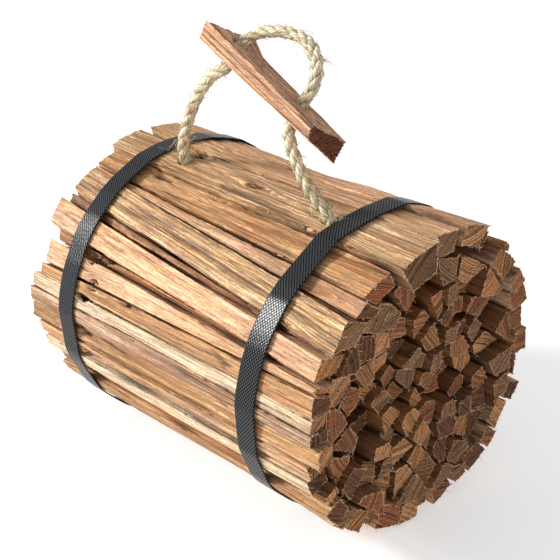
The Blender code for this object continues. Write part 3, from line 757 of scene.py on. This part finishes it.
class Paint:
    """A material's nodes, added one call each."""

    def __init__(self, name):
        self.material = bpy.data.materials.new(name)
        self.material.use_nodes = True
        self.tree = self.material.node_tree
        self.shader = self.tree.nodes["Principled BSDF"]

    def put(self, socket, value):
        if isinstance(value, bpy.types.NodeSocket):
            self.tree.links.new(value, socket)
        else:
            socket.default_value = value

    def node(self, kind, *values, **settings):
        made = self.tree.nodes.new(kind)
        for key, value in settings.items():
            setattr(made, key, value)
        for socket, value in zip(made.inputs, values):
            self.put(socket, value)
        return made

    def attribute(self, name, output="Vector"):
        return self.node("ShaderNodeAttribute", attribute_name=name).outputs[output]

    def tint(self, colour, factors):
        return self.node("ShaderNodeVectorMath", colour, factors, operation="MULTIPLY").outputs[0]

    def noise(self, place, scales, shift=0.0, detail=2.0, roughness=0.5):
        """Noise over a place that is stretched and shifted."""
        ways = (shift, 0.0, shift)
        moved = self.node("ShaderNodeVectorMath", self.tint(place, scales), ways, operation="ADD")
        made = self.node("ShaderNodeTexNoise")
        self.put(made.inputs["Vector"], moved.outputs[0])
        made.inputs["Scale"].default_value = 1.0
        made.inputs["Detail"].default_value = detail
        made.inputs["Roughness"].default_value = roughness
        return made.outputs["Fac"]

    def line(self, place, scales, shift, width):
        """Thin lines where smooth noise passes its middle."""
        passing = self.noise(place, scales, shift, 1.0)
        away = self.maths("ABSOLUTE", self.maths("SUBTRACT", passing, 0.5))
        return self.ramp(away, 0.0, width, 1.0, 0.0)

    def ramp(self, value, low, high, start=0.0, end=1.0):
        made = self.node("ShaderNodeMapRange", value, low, high, start, end, interpolation_type="SMOOTHSTEP")
        return made.outputs[0]

    def times(self, first, second):
        return self.maths("MULTIPLY", first, second)

    def maths(self, operation, *values):
        return self.node("ShaderNodeMath", *values, operation=operation).outputs[0]

    def mix(self, share, first, second, blend="MIX"):
        made = self.node("ShaderNodeMix", data_type="RGBA", blend_type=blend)
        self.put(made.inputs["Factor"], share)
        self.put(made.inputs[6], first)
        self.put(made.inputs[7], second)
        return made.outputs[2]

    def shade(self, colour, value):
        """A colour times a number."""
        grey = self.node("ShaderNodeCombineXYZ", value, value, value).outputs[0]
        return self.tint(colour, grey)

    def finish(self, colour, roughness, height=None, strength=0.5, distance=0.3 * MM, specular=0.5):
        self.put(self.shader.inputs["Base Color"], colour)
        self.put(self.shader.inputs["Roughness"], roughness)
        self.put(self.shader.inputs["Specular IOR Level"], specular)
        if height is not None:
            bump = self.node("ShaderNodeBump")
            bump.inputs["Strength"].default_value = strength
            bump.inputs["Distance"].default_value = distance
            self.put(bump.inputs["Height"], height)
            self.put(self.shader.inputs["Normal"], bump.outputs[0])
        return self.material


def split_wood(name):
    """The split faces: fibres, growth bands, dark lines, resin and grey weathering, with knot and resin
    stains, near-black painted shade in pockets, slots and hole mouths, and painted shade where the skin
    sinks between sticks.
    """
    paint = Paint(name)
    skin, rings = paint.attribute("skin"), paint.attribute("rings")
    tone, wear = paint.attribute("tone"), paint.attribute("wear")
    parts = paint.node("ShaderNodeSeparateXYZ", wear)
    resin, weathered, lined = parts.outputs

    fibre = paint.noise(skin, (1.1, 0.012, 1.0), 0.0, 4.0, 0.75)
    fine = paint.noise(skin, (1.4, 0.13, 1.0), 4.0, 2.0, 0.7)
    pepper = paint.noise(skin, (2.2, 0.7, 1.0), 9.0, 2.0, 0.6)
    band = paint.noise(rings, (0.85, 0.003, 1.0), 2.0, 2.0, 0.55)
    broad = paint.noise(skin, (0.22, 0.012, 1.0), 6.0, 2.0, 0.5)
    warm = paint.noise(skin, (0.6, 0.02, 1.0), 21.0, 2.0, 0.5)
    long_line = paint.line(skin, (0.5, 0.006, 1.0), 25.0, 0.07)
    short_line = paint.line(skin, (0.75, 0.028, 1.0), 29.0, 0.095)
    cross_line = paint.line(skin, (0.3, 0.42, 1.0), 41.0, 0.035)
    cross_place = paint.noise(skin, (0.8, 0.1, 1.0), 45.0, 1.0, 0.5)
    grain = paint.noise(skin, (1.7, 1.5, 1.0), 33.0, 1.0, 0.5)
    resin_place = paint.noise(skin, (0.3, 0.016, 1.0), 13.0, 3.0, 0.6)
    grey_place = paint.noise(skin, (0.26, 0.02, 1.0), 17.0, 3.0, 0.6)

    pale = paint.tint(tone, PALE_GRAIN)
    orange = paint.tint(tone, ORANGE_GRAIN)
    bleached = paint.tint(tone, BLEACHED_GRAIN)
    colour = paint.mix(paint.ramp(broad, 0.38, 0.62, 0.1, 0.75), tone, pale)
    colour = paint.mix(paint.ramp(warm, 0.52, 0.68, 0.0, 0.55), colour, orange)
    colour = paint.mix(paint.ramp(fibre, 0.5, 0.62, 0.0, 0.4), colour, bleached)
    colour = paint.shade(colour, paint.ramp(band, 0.4, 0.56, 0.8, 1.06))
    colour = paint.shade(colour, paint.ramp(fibre, 0.4, 0.54, 0.66, 1.1))
    colour = paint.shade(colour, paint.ramp(fine, 0.4, 0.56, 0.68, 1.16))
    colour = paint.shade(colour, paint.ramp(grain, 0.36, 0.62, 0.84, 1.12))
    resin_share = paint.times(paint.ramp(resin_place, 0.5, 0.6), resin)
    colour = paint.mix(resin_share, colour, RESIN)
    grey_share = paint.times(paint.ramp(grey_place, 0.46, 0.58), weathered)
    colour = paint.mix(paint.times(grey_share, 0.7), colour, WEATHERED)
    line = paint.maths("MAXIMUM", long_line, paint.times(short_line, 0.85))
    cross_line = paint.times(cross_line, paint.ramp(cross_place, 0.5, 0.62, 0.0, 0.7))
    line = paint.maths("MAXIMUM", line, cross_line)
    line = paint.times(line, paint.ramp(fine, 0.4, 0.55, 0.4, 1.0))
    line = paint.times(line, lined)
    pepper = paint.ramp(pepper, 0.6, 0.7, 0.0, 0.6)
    dark = paint.maths("MAXIMUM", paint.times(line, 0.9), pepper)
    colour = paint.mix(dark, colour, DARK_LINE)
    # Knot and resin stains, and near-black painted shade in pockets, slots, checks and hole mouths
    stain = paint.attribute("stain", "Fac")
    colour = paint.mix(paint.ramp(stain, 0.1, 0.8), colour, STAIN_AND_SHADE)
    # Painted shade: darker where the skin sinks, in splits and between sticks
    colour = paint.shade(colour, paint.ramp(paint.attribute("low", "Fac"), 0.0, 1.0, 1.0, 0.3))

    height = paint.maths("ADD", paint.times(fibre, 1.2), paint.times(fine, 0.6))
    height = paint.maths("SUBTRACT", height, paint.times(dark, 0.35))
    roughness = paint.maths("SUBTRACT", 0.78, paint.times(resin_share, 0.3))
    return paint.finish(colour, roughness, height, 0.9, 0.38 * MM, 0.3)


def sawn_wood(name):
    """The sawn ends: dark growth rings, saw marks, pits and pale torn fibres at the rim."""
    paint = Paint(name)
    skin, rings, tone = paint.attribute("skin"), paint.attribute("rings"), paint.attribute("tone")
    place = paint.node("ShaderNodeTexCoord").outputs["Object"]
    ring = paint.noise(rings, (1.45, 0.0, 1.0), 3.0, 1.5, 0.5)
    grit = paint.noise(place, (0.0, 1500.0, 1500.0), 0.0, 3.0, 0.7)
    cloud = paint.noise(place, (0.0, 260.0, 260.0), 5.0, 2.0, 0.5)
    colour = paint.shade(tone, paint.ramp(ring, 0.42, 0.55, 0.42, 1.4))
    colour = paint.shade(colour, paint.ramp(grit, 0.38, 0.62, 0.5, 1.6))
    colour = paint.mix(paint.ramp(cloud, 0.45, 0.7, 0.0, 0.3), colour, SAWDUST)
    fray = paint.noise(skin, (1.3, 0.0, 1.0), 8.0, 2.0, 0.6)
    frayed = paint.noise(skin, (0.16, 0.0, 1.0), 12.0, 1.0, 0.5)
    rim = paint.ramp(paint.attribute("rim", "Fac"), 0.3, 1.0)
    rim = paint.times(rim, paint.ramp(fray, 0.38, 0.56, 0.0, 1.0))
    rim = paint.times(rim, paint.ramp(frayed, 0.38, 0.58, 0.2, 1.0))
    colour = paint.mix(rim, colour, TORN_RIM)
    height = paint.maths("ADD", paint.times(ring, 0.8), grit)
    return paint.finish(colour, 0.88, height, 0.9, 0.3 * MM, 0.25)


# Building the sticks

def build_outer(materials):
    names = sorted(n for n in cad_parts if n.startswith("outer_stick")) + ["handle_stick", "splinter"]
    for number, name in enumerate(names):
        look = OUTER_LOOKS.get(short(name))
        tone, resin, weathered, lines, rough = look or OTHER_LOOKS[number % len(OTHER_LOOKS)]
        draws = np.random.default_rng(SEED + number)
        loops = stick_loops(name)
        if short(name) in RAISED:
            RAISED_LOOPS.append(loops)
        holes = []
        if name == "handle_stick":
            for x, y, z in (ROPE_ROUTE[1], ROPE_ROUTE[-2]):
                place = (x, y, z + AXIS_HEIGHT)
                holes.append((place, BOARD_HOLE_WAY, BOARD_HOLE_RADIUS, BOARD_HOLE_DEPTH))
        steps = SEEN_STEPS if look else HIDDEN_STEPS
        skin = Skin(loops, OUTER_SEED + number, *steps, holes=holes)
        skin.shape(rough, STICK_GAP)
        stain = np.zeros(skin.points.shape[:2])
        for x, angle, half_length, half_width, depth, dark in MARKS:
            stain = np.maximum(stain, dark * skin.mark(x, angle, half_length, half_width, depth))
        # Hole mouths get near-black painted shade
        stain = np.maximum(stain, skin.drill())
        end_tone = END_TONES[draws.integers(len(END_TONES))]
        if name == "handle_stick":
            end_tone = BOARD_END_TONE
        wear = (resin, weathered, lines)
        piece = build_stick(f"{name}_wood", skin, TONES[tone], end_tone, wear, stain, materials)
        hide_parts(name)


def build_inner(materials):
    draws = np.random.default_rng(SEED + 500)
    separate = sorted(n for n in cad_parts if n.startswith("inner_stick_"))
    loops = [(name, bar_loops(name)) for name in separate]
    loops += [(f"core_stick_{k + 1:02d}", found) for k, found in enumerate(inner_loops(draws))]
    for _, found in loops:
        place = found[1].mean(0)
        for y, z, radius, depth in HOLLOWS:
            if math.hypot(place[1] - y, place[2] - z) < radius:
                found[1, :, 0] -= depth
    first_core = len(separate)
    for number, (name, found) in enumerate(loops):
        skin = Skin(found, INNER_SEED + number, *INNER_STEPS, tip_rows=INNER_TIP_ROWS)
        skin.shape(INNER_ROUGH, INNER_GAP)
        stain = np.zeros(skin.points.shape[:2])
        # Inner sides take a wood colour darkened as painted shade
        tone = INNER_TONES_WITH_PAINTED_SHADE[draws.integers(len(INNER_TONES_WITH_PAINTED_SHADE))]
        end_tone = END_TONES[draws.integers(len(END_TONES))]
        piece = build_stick(f"{name}_wood", skin, tone, end_tone, INNER_WEAR, stain, materials)
        if number < first_core:
            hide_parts(name)
        elif number == first_core:
            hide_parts("inner_sticks")


def build_grip(materials):
    points = node_points("handle_grip")
    far = points[points[:, 0] < points[:, 0].min() + 0.5]
    near = points[points[:, 0] > points[:, 0].max() - 0.5]
    loops = matched(around(far, far.mean(0)), around(near, near.mean(0)))
    middles = loops.mean(1, keepdims=True)
    ahead = (middles[1] - middles[0]) / np.linalg.norm(middles[1] - middles[0])
    loops = middles + (loops - middles) * np.array(GRIP_SWELL)[:, None, None]
    loops[0] += np.array(GRIP_SHIFT) - ahead * GRIP_LONGER
    behind = loops[0] * (1.0 - GRIP_CORNER_REACH) + loops[1] * GRIP_CORNER_REACH
    loops = np.array([loops[0], behind, loops[1]])
    loops[0, np.argmax(loops[0, :, 1])] += GRIP_CORNER
    holes = [((x, y, z + AXIS_HEIGHT), GRIP_HOLE_WAY, GRIP_HOLE_RADIUS, GRIP_HOLE_DEPTH)
             for x, y, z in GRIP_HOLES]
    skin = Skin(loops, GRIP_SEED, *GRIP_STEPS, holes=holes)
    skin.shape(1.1, 0.0)
    for x, y, z, radius, depth in GRIP_CHIPS:
        skin.chip((x, y, z), radius, depth)
    # Hole mouths get near-black painted shade
    stain = skin.drill()
    piece = build_stick("grip_wood", skin, GRIP_TONE, GRIP_END_TONE, GRIP_WEAR, stain, materials)
    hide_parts("handle_grip")


# Straps

def hull(points):
    """The convex hull of points in a plane, anticlockwise."""
    ordered = sorted(set(map(tuple, points)))
    halves = []
    for run in (ordered, ordered[::-1]):
        half = []
        for point in run:
            while len(half) > 1:
                a, b = half[-2], half[-1]
                if (b[0] - a[0]) * (point[1] - a[1]) - (b[1] - a[1]) * (point[0] - a[0]) > 0.0:
                    break
                half.pop()
            half.append(point)
        halves.append(half[:-1])
    return np.array(halves[0] + halves[1])


def corners_under(loops, slope, offset):
    """A stick's corners where a strap crosses it."""
    corners = []
    for column in loops.transpose(1, 0, 2):
        x = offset + slope * column[:, 2].mean()
        corners.append([np.interp(x, column[:, 0], column[:, k]) for k in (1, 2)])
    return corners


def strap_line(name):
    """The strap's inner line as evenly spaced points, with its middle's x at each height."""
    points = node_points(name)
    slope, offset = np.polyfit(points[:, 2], points[:, 0], 1)
    section = points[:, 1:].round(3)
    radii = np.hypot(section[:, 0], section[:, 1] - AXIS_HEIGHT)
    inner = [corner for loops in RAISED_LOOPS for corner in corners_under(loops, slope, offset)]
    for place, radius in zip(section, radii):
        away = np.linalg.norm(section - place, axis=1)
        if np.any((away < LAYER_REACH) & (radii > radius + LAYER_STEP)):
            inner.append(place)
    corners = hull(inner)
    closed = np.vstack([corners, corners[:1]])
    lengths = np.concatenate([[0.0], np.cumsum(np.linalg.norm(np.diff(closed, axis=0), axis=1))])
    count = int(lengths[-1] / STRAP_STEP)
    places = np.linspace(0.0, lengths[-1], count, endpoint=False)
    line = np.column_stack([np.interp(places, lengths, closed[:, k]) for k in (0, 1)])
    for _ in range(3):
        line = (np.roll(line, 1, axis=0) + 2.0 * line + np.roll(line, -1, axis=0)) / 4.0
    return line, places, slope, offset


def strap_section():
    """Corners across the strap: how far along its width and through its thickness each stands."""
    half, edge = STRAP_WIDTH / 2.0, STRAP_EDGE
    top = [(side, STRAP_THICKNESS - 0.06 * abs(math.sin(side * 2.2)))
           for side in np.linspace(half - edge, edge - half, 25)]
    return [(edge - half, 0.0), (half - edge, 0.0), (half, edge), (half, STRAP_THICKNESS - edge),
            *top, (-half, STRAP_THICKNESS - edge), (-half, edge)]


def strap_piece(name, points, quads, ends, along, across, material):
    piece = mesh_object(name, points, quads, ends)
    set_values(piece, "weave", np.column_stack([along, across, np.zeros(len(across))]))
    piece.data.materials.append(material)
    return piece


def build_strap(name, material):
    """The strap round the bundle, and the doubled layer where its ends overlap."""
    line, places, slope, offset = strap_line(name)
    ahead = np.roll(line, -1, axis=0) - np.roll(line, 1, axis=0)
    ahead = ahead / np.linalg.norm(ahead, axis=1)[:, None]
    normals = np.column_stack([ahead[:, 1], -ahead[:, 0]])
    section = strap_section()
    rows = []
    for side, out in section:
        flat = line + normals * out
        on_edge = abs(side) > STRAP_WIDTH * 0.49
        edge_wave = EDGE_WAVE * np.sin(places * 2.0 * math.pi / WEAVE_PITCH) * on_edge
        x = offset + slope * flat[:, 1] + side + edge_wave * np.sign(side)
        rows.append(np.column_stack([x, flat]))
    grid = np.array(rows).transpose(1, 0, 2)
    count, columns = grid.shape[:2]
    faces = grid_faces(count + 1, columns) % (count * columns)
    sides = [side for side, _ in section]
    along, across = np.repeat(places, columns), np.tile(sides, count)
    band = strap_piece(f"{name}_band", grid.reshape(-1, 3), faces, (), along, across, material)
    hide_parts(name)

    angles = np.degrees(np.arctan2(line[:, 1] - AXIS_HEIGHT, line[:, 0])) % 360.0
    lapped = np.where((angles > LAP_ANGLES[0]) & (angles < LAP_ANGLES[1]))[0]
    outward = np.concatenate([np.zeros((len(lapped), 1)), normals[lapped]], axis=1)
    lap = grid[lapped] + outward[:, None, :] * (STRAP_THICKNESS + LAP_GAP)
    middles = np.array([lap[0].mean(0), lap[-1].mean(0)])
    points = np.concatenate([lap.reshape(-1, 3), middles])
    ends = [[k, len(points) - 2, (k + 1) % columns] for k in range(columns)]
    last = (len(lapped) - 1) * columns
    ends += [[last + (k + 1) % columns, len(points) - 1, last + k] for k in range(columns)]
    along = np.concatenate([np.repeat(places[lapped], columns), places[lapped[[0, -1]]]])
    across = np.concatenate([np.tile(sides, len(lapped)), [0.0, 0.0]])
    quads = grid_faces(len(lapped), columns)
    strap_piece(f"{name}_lap", points, quads, ends, along, across, material)


def strapping():
    """Dark plastic with raised woven diamonds, and near-black painted shade in the grooves between them."""
    paint = Paint("strapping")
    parts = paint.node("ShaderNodeSeparateXYZ", paint.attribute("weave"))
    along, across = parts.outputs[0], parts.outputs[1]
    turn = math.pi / WEAVE_PITCH
    waves = []
    for operation in ("ADD", "SUBTRACT"):
        slanted = paint.maths(operation, along, paint.times(across, WEAVE_SLANT))
        wave = paint.maths("SINE", paint.times(slanted, turn))
        waves.append(paint.maths("ABSOLUTE", wave))
    diamonds = paint.times(waves[0], waves[1])
    scuff = paint.noise(paint.attribute("weave"), (0.5, 1.4, 1.0), 0.0, 3.0, 0.6)
    # Grooves get near-black painted shade, the diamonds the plastic's own colour
    raised = paint.ramp(diamonds, 0.2, 0.55)
    colour = paint.mix(raised, STRAP_GROOVE_SHADE, STRAP_RAISED)
    colour = paint.mix(paint.ramp(scuff, 0.55, 0.8, 0.0, 0.15), colour, STRAP_SCUFF)
    roughness = paint.ramp(scuff, 0.3, 0.7, 0.2, 0.27)
    gloss = paint.ramp(diamonds, 0.2, 0.5, 0.02, 0.2)
    return paint.finish(colour, roughness, diamonds, 1.0, 0.03 * MM, gloss)


# Rope

def smooth_points(route, spacing):
    """Points at an even spacing on the smooth curve through a route."""
    route = np.array(route)
    ends = np.vstack([2.0 * route[0] - route[1], route, 2.0 * route[-1] - route[-2]])
    fine = []
    for before, start, end, after in zip(ends, ends[1:], ends[2:], ends[3:]):
        for t in np.arange(16) / 16.0:
            bend = (end - before) * t + (2.0 * before - 5.0 * start + 4.0 * end - after) * t * t
            bend = bend + (3.0 * start - 3.0 * end + after - before) * t ** 3
            fine.append(start + 0.5 * bend)
    fine = np.array([*fine, route[-1]])
    lengths = np.concatenate([[0.0], np.cumsum(np.linalg.norm(np.diff(fine, axis=0), axis=1))])
    places = np.linspace(0.0, lengths[-1], int(round(lengths[-1] / spacing)) + 1)
    return np.column_stack([np.interp(places, lengths, fine[:, k]) for k in range(3)]), places


def frames_along(line):
    """Two directions square to a line at each of its points, carried along without twist."""
    ahead = np.gradient(line, axis=0)
    ahead = ahead / np.linalg.norm(ahead, axis=1)[:, None]
    side = np.cross(ahead[0], [0.0, 1.0, 0.0])
    sides = []
    for way in ahead:
        side = side - way * (side @ way)
        side = side / np.linalg.norm(side)
        sides.append(side)
    sides = np.array(sides)
    return sides, np.cross(ahead, sides)


def circles(first, second, count):
    """Points on a circle round each place, in the plane of its two directions."""
    turns = np.arange(count) * 2.0 * math.pi / count
    across = first[:, None, :] * np.cos(turns)[None, :, None]
    return across + second[:, None, :] * np.sin(turns)[None, :, None]


def tube(line, radii, count):
    ring = circles(*frames_along(line), count)
    return line[:, None, :] + ring * np.broadcast_to(radii, (len(line), count))[:, :, None]


def hairs(name, starts, ways, lengths, radius, bend, draws, material):
    """Thin curved fibres, three-sided and drawn to a point, as one mesh."""
    steps = np.linspace(0.0, 1.0, 4)
    ways = ways / np.linalg.norm(ways, axis=1)[:, None]
    first = np.cross(ways, draws.normal(size=ways.shape))
    first = first / np.linalg.norm(first, axis=1)[:, None]
    second = np.cross(ways, first)
    reach = ways[:, None, :] * steps[None, :, None]
    reach = reach + bend * first[:, None, :] * (steps ** 2)[None, :, None]
    line = starts[:, None, :] + reach * lengths[:, None, None]
    radii = (radius * np.array(HAIR_TAPER))[None, :, None, None]
    rings = line[:, :3, None, :] + circles(first, second, 3)[:, None, :, :] * radii
    points = np.concatenate([rings.reshape(len(starts), 9, 3), line[:, 3:4]], axis=1)
    quads = [[a + k, a + (k + 1) % 3, a + 3 + (k + 1) % 3, a + 3 + k] for a in (0, 3) for k in range(3)]
    triangles = [[2, 1, 0], [6, 7, 9], [7, 8, 9], [8, 6, 9]]
    offsets = (np.arange(len(starts)) * 10)[:, None, None]
    quads = (np.array(quads)[None] + offsets).reshape(-1, 4)
    triangles = (np.array(triangles)[None] + offsets).reshape(-1, 3)
    piece = mesh_object(name, points.reshape(-1, 3), quads, triangles)
    piece.data.materials.append(material)
    return piece


def build_fuzz(line, material):
    """Loose fibres on the rope, more of them where it goes into the board."""
    draws = np.random.default_rng(SEED + 900)
    spots = np.concatenate([draws.integers(4, len(line) - 4, FUZZ), draws.integers(8, 26, FUZZ // 5),
                            len(line) - draws.integers(8, 40, FUZZ // 3)])
    first, second = frames_along(line)
    turns = draws.uniform(0.0, 2.0 * math.pi, len(spots))
    out = first[spots] * np.cos(turns)[:, None] + second[spots] * np.sin(turns)[:, None]
    ahead = np.gradient(line, axis=0)[spots]
    ahead = ahead / np.linalg.norm(ahead, axis=1)[:, None]
    ways = ahead * draws.choice([-1.0, 1.0], len(spots))[:, None]
    ways = ways + out * draws.uniform(0.1, 1.2, len(spots))[:, None]
    lengths = 2.0 + draws.exponential(3.0, len(spots)).clip(0.0, 9.0)
    starts = line[spots] + out * 0.44 * ROPE_DIAMETER
    piece = hairs("rope_fuzz", starts, ways, lengths, FUZZ_RADIUS, FUZZ_BEND, draws, material)


def build_torn_fibres(material):
    """Fibres that the saw tore up round the sticks' ends."""
    draws = np.random.default_rng(SEED + 700)
    starts, ways = [], []
    for points, normals, facing in TORN_RIMS:
        around_end = np.linalg.norm(np.diff(points, axis=0), axis=1).sum()
        picks = draws.integers(0, len(points), int(around_end * TORN_DENSITY))
        spread = draws.normal(size=(len(picks), 3)) * TORN_SPREAD
        out = normals[picks] * draws.uniform(-0.2, 0.9, len(picks))[:, None]
        starts.append(points[picks] - normals[picks] * 0.15 - np.array([facing * 0.3, 0.0, 0.0]))
        ways.append(np.array([facing * 0.6, 0.0, 0.0]) + out + spread)
    starts, ways = np.concatenate(starts), np.concatenate(ways)
    clear = starts[:, 2] > FLOOR_CLEARANCE
    starts, ways = starts[clear], ways[clear]
    lengths = 0.7 + draws.exponential(0.8, len(starts)).clip(0.0, 3.2)
    piece = hairs("torn_fibres", starts, ways, lengths, TORN_RADIUS, TORN_BEND, draws, material)


def loose_fibre(name, first, second):
    """Fibres of two colours, in patches."""
    paint = Paint(name)
    place = paint.node("ShaderNodeTexCoord").outputs["Object"]
    patch = paint.noise(place, (400.0, 400.0, 400.0), 0.0, 2.0, 0.5)
    colour = paint.mix(paint.ramp(patch, 0.4, 0.6), first, second)
    return paint.finish(colour, 0.7)


def build_rope(material):
    line, places = smooth_points(ROPE_ROUTE, ROPE_STEP)
    line = line + np.array([0.0, 0.0, AXIS_HEIGHT])
    first, second = frames_along(line)
    strand_radius = 0.5 * ROPE_DIAMETER / (1.0 + 2.0 / math.sqrt(3.0))
    off = STRAND_OFFSET * strand_radius * 2.0 / math.sqrt(3.0)
    points, faces, lay, crevice_shades = [], [], [], []
    count = STRAND_COLUMNS
    for strand in range(3):
        turn = 2.0 * math.pi * (places / ROPE_LAY + strand / 3.0)
        wander = STRAND_WANDER * noise(places / 9.0, strand * 5.0, 41)
        outward = first * np.cos(turn)[:, None] + second * np.sin(turn)[:, None]
        centre = line + (off + wander)[:, None] * outward
        around_strand = np.arange(count) * strand_radius * 2.0 * math.pi / count
        yarn = around_strand[None, :] + places[:, None] * YARN_SLANT
        turn_on_strand = np.arange(count)[None, :] * 2.0 * math.pi / count
        ridges = np.abs(np.cos(YARNS / 2.0 * turn_on_strand + places[:, None] * YARN_TURN))
        yarns = YARN_HEIGHT * ridges - 0.1
        bumps = FIBRE_HEIGHT * noise(yarn / 0.9, places[:, None] / 7.0 + strand * 20.0, 43)
        swell = SWELL_HEIGHT * noise(places / 5.0, strand * 9.0, 44)[:, None]
        rows = tube(centre, strand_radius * STRAND_SWELL + bumps + swell + yarns, count)
        # Painted shade in the crevices between strands, where the surface lies near the rope's middle line
        away = np.linalg.norm(rows - line[:, None, :], axis=2)
        crevice_shades.append(smooth(0.46, 0.3, away / ROPE_DIAMETER).ravel())
        faces.append(grid_faces(len(rows), count, sum(len(p) for p in points)))
        points.append(rows.reshape(-1, 3))
        lay.append(np.column_stack([yarn.ravel(), np.repeat(places, count) + strand * 300.0,
                                    np.full(yarn.size, strand * 1.0)]))
    piece = mesh_object("rope", np.concatenate(points), np.concatenate(faces))
    set_values(piece, "lay", np.concatenate(lay))
    set_values(piece, "hollow", np.concatenate(crevice_shades))
    piece.data.materials.append(material)
    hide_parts("handle_rope")
    return line


def rope_fibre():
    """Pale plant fibre, fine and slightly shiny, with darker lines between the yarns and painted shade in
    the crevices between the strands.
    """
    paint = Paint("rope_fibre")
    lay = paint.attribute("lay")
    yarn = paint.noise(lay, (1.4, 0.06, 1.0), 0.0, 3.0, 0.7)
    fine = paint.noise(lay, (3.0, 0.16, 1.0), 5.0, 2.0, 0.6)
    broad = paint.noise(lay, (0.3, 0.06, 1.0), 8.0, 2.0, 0.5)
    colour = paint.mix(paint.ramp(broad, 0.35, 0.65), *ROPE_COLOURS)
    colour = paint.shade(colour, paint.ramp(yarn, 0.42, 0.55, 0.5, 1.15))
    colour = paint.shade(colour, paint.ramp(fine, 0.42, 0.56, 0.6, 1.18))
    # Painted shade: darker in the crevices between strands
    colour = paint.shade(colour, paint.ramp(paint.attribute("hollow", "Fac"), 0.0, 1.0, 1.0, 0.7))
    height = paint.maths("ADD", yarn, paint.times(fine, 0.5))
    return paint.finish(colour, 0.62, height, 0.9, 0.25 * MM, 0.4)


# Stage

def build_stage():
    far = FLOOR_REACH
    corners = [(-far, -far, 0.0), (far, -far, 0.0), (far, far, 0.0), (-far, far, 0.0)]
    data = bpy.data.meshes.new("floor")
    data.from_pydata(corners, [], [(0, 1, 2, 3)])
    floor = linked("floor", data)
    paint = Paint("floor_paper")
    paint.shader.inputs["Emission Color"].default_value = WHITE
    paint.shader.inputs["Emission Strength"].default_value = FLOOR_GLOW
    data.materials.append(paint.finish((FLOOR_TONE, FLOOR_TONE, FLOOR_TONE, 1.0), 0.9, specular=0.1))

    world = bpy.data.worlds.new("studio")
    world.use_nodes = True
    backdrop = world.node_tree.nodes["Background"]
    backdrop.inputs["Color"].default_value = WHITE
    backdrop.inputs["Strength"].default_value = SKY_STRENGTH
    bpy.context.scene.world = world

    add_light("key", KEY_PLACE, KEY_SIZE, KEY_POWER)
    add_light("side", SIDE_PLACE, SIDE_SIZE, SIDE_POWER)
    bpy.context.scene.view_settings.view_transform = "Standard"


def add_light(name, place, size, power):
    data = bpy.data.lights.new(name, "AREA")
    data.size = size
    data.energy = power
    data.color = LIGHT_COLOUR
    light = linked(name, data)
    light.location = place
    light.rotation_mode = "QUATERNION"
    light.rotation_quaternion = (Vector(LIGHT_TARGET) - light.location).to_track_quat("-Z", "Y")


def build_camera():
    data = bpy.data.cameras.new("camera")
    data.sensor_width = 36.0
    data.lens = CAMERA_LENS
    camera = linked("camera", data)
    azimuth, elevation = math.radians(CAMERA_AZIMUTH), math.radians(CAMERA_ELEVATION)
    level = math.cos(elevation)
    back = Vector((math.sin(azimuth) * level, -math.cos(azimuth) * level, math.sin(elevation)))
    camera.location = Vector(CAMERA_PLACE) * MM
    camera.rotation_mode = "QUATERNION"
    camera.rotation_quaternion = (-back).to_track_quat("-Z", "Y")
    bpy.context.scene.camera = camera


build_camera()
wood = [split_wood("split_wood"), sawn_wood("sawn_wood")]
fibre = rope_fibre()
rope_line = build_rope(fibre)
build_fuzz(rope_line, loose_fibre("rope_hair", *HAIR_COLOURS))
build_outer(wood)
build_inner(wood)
build_grip(wood)
build_torn_fibres(loose_fibre("torn_fibre", *TORN_COLOURS))
band = strapping()
for strap in ("strap_far", "strap_near"):
    build_strap(strap, band)
build_stage()
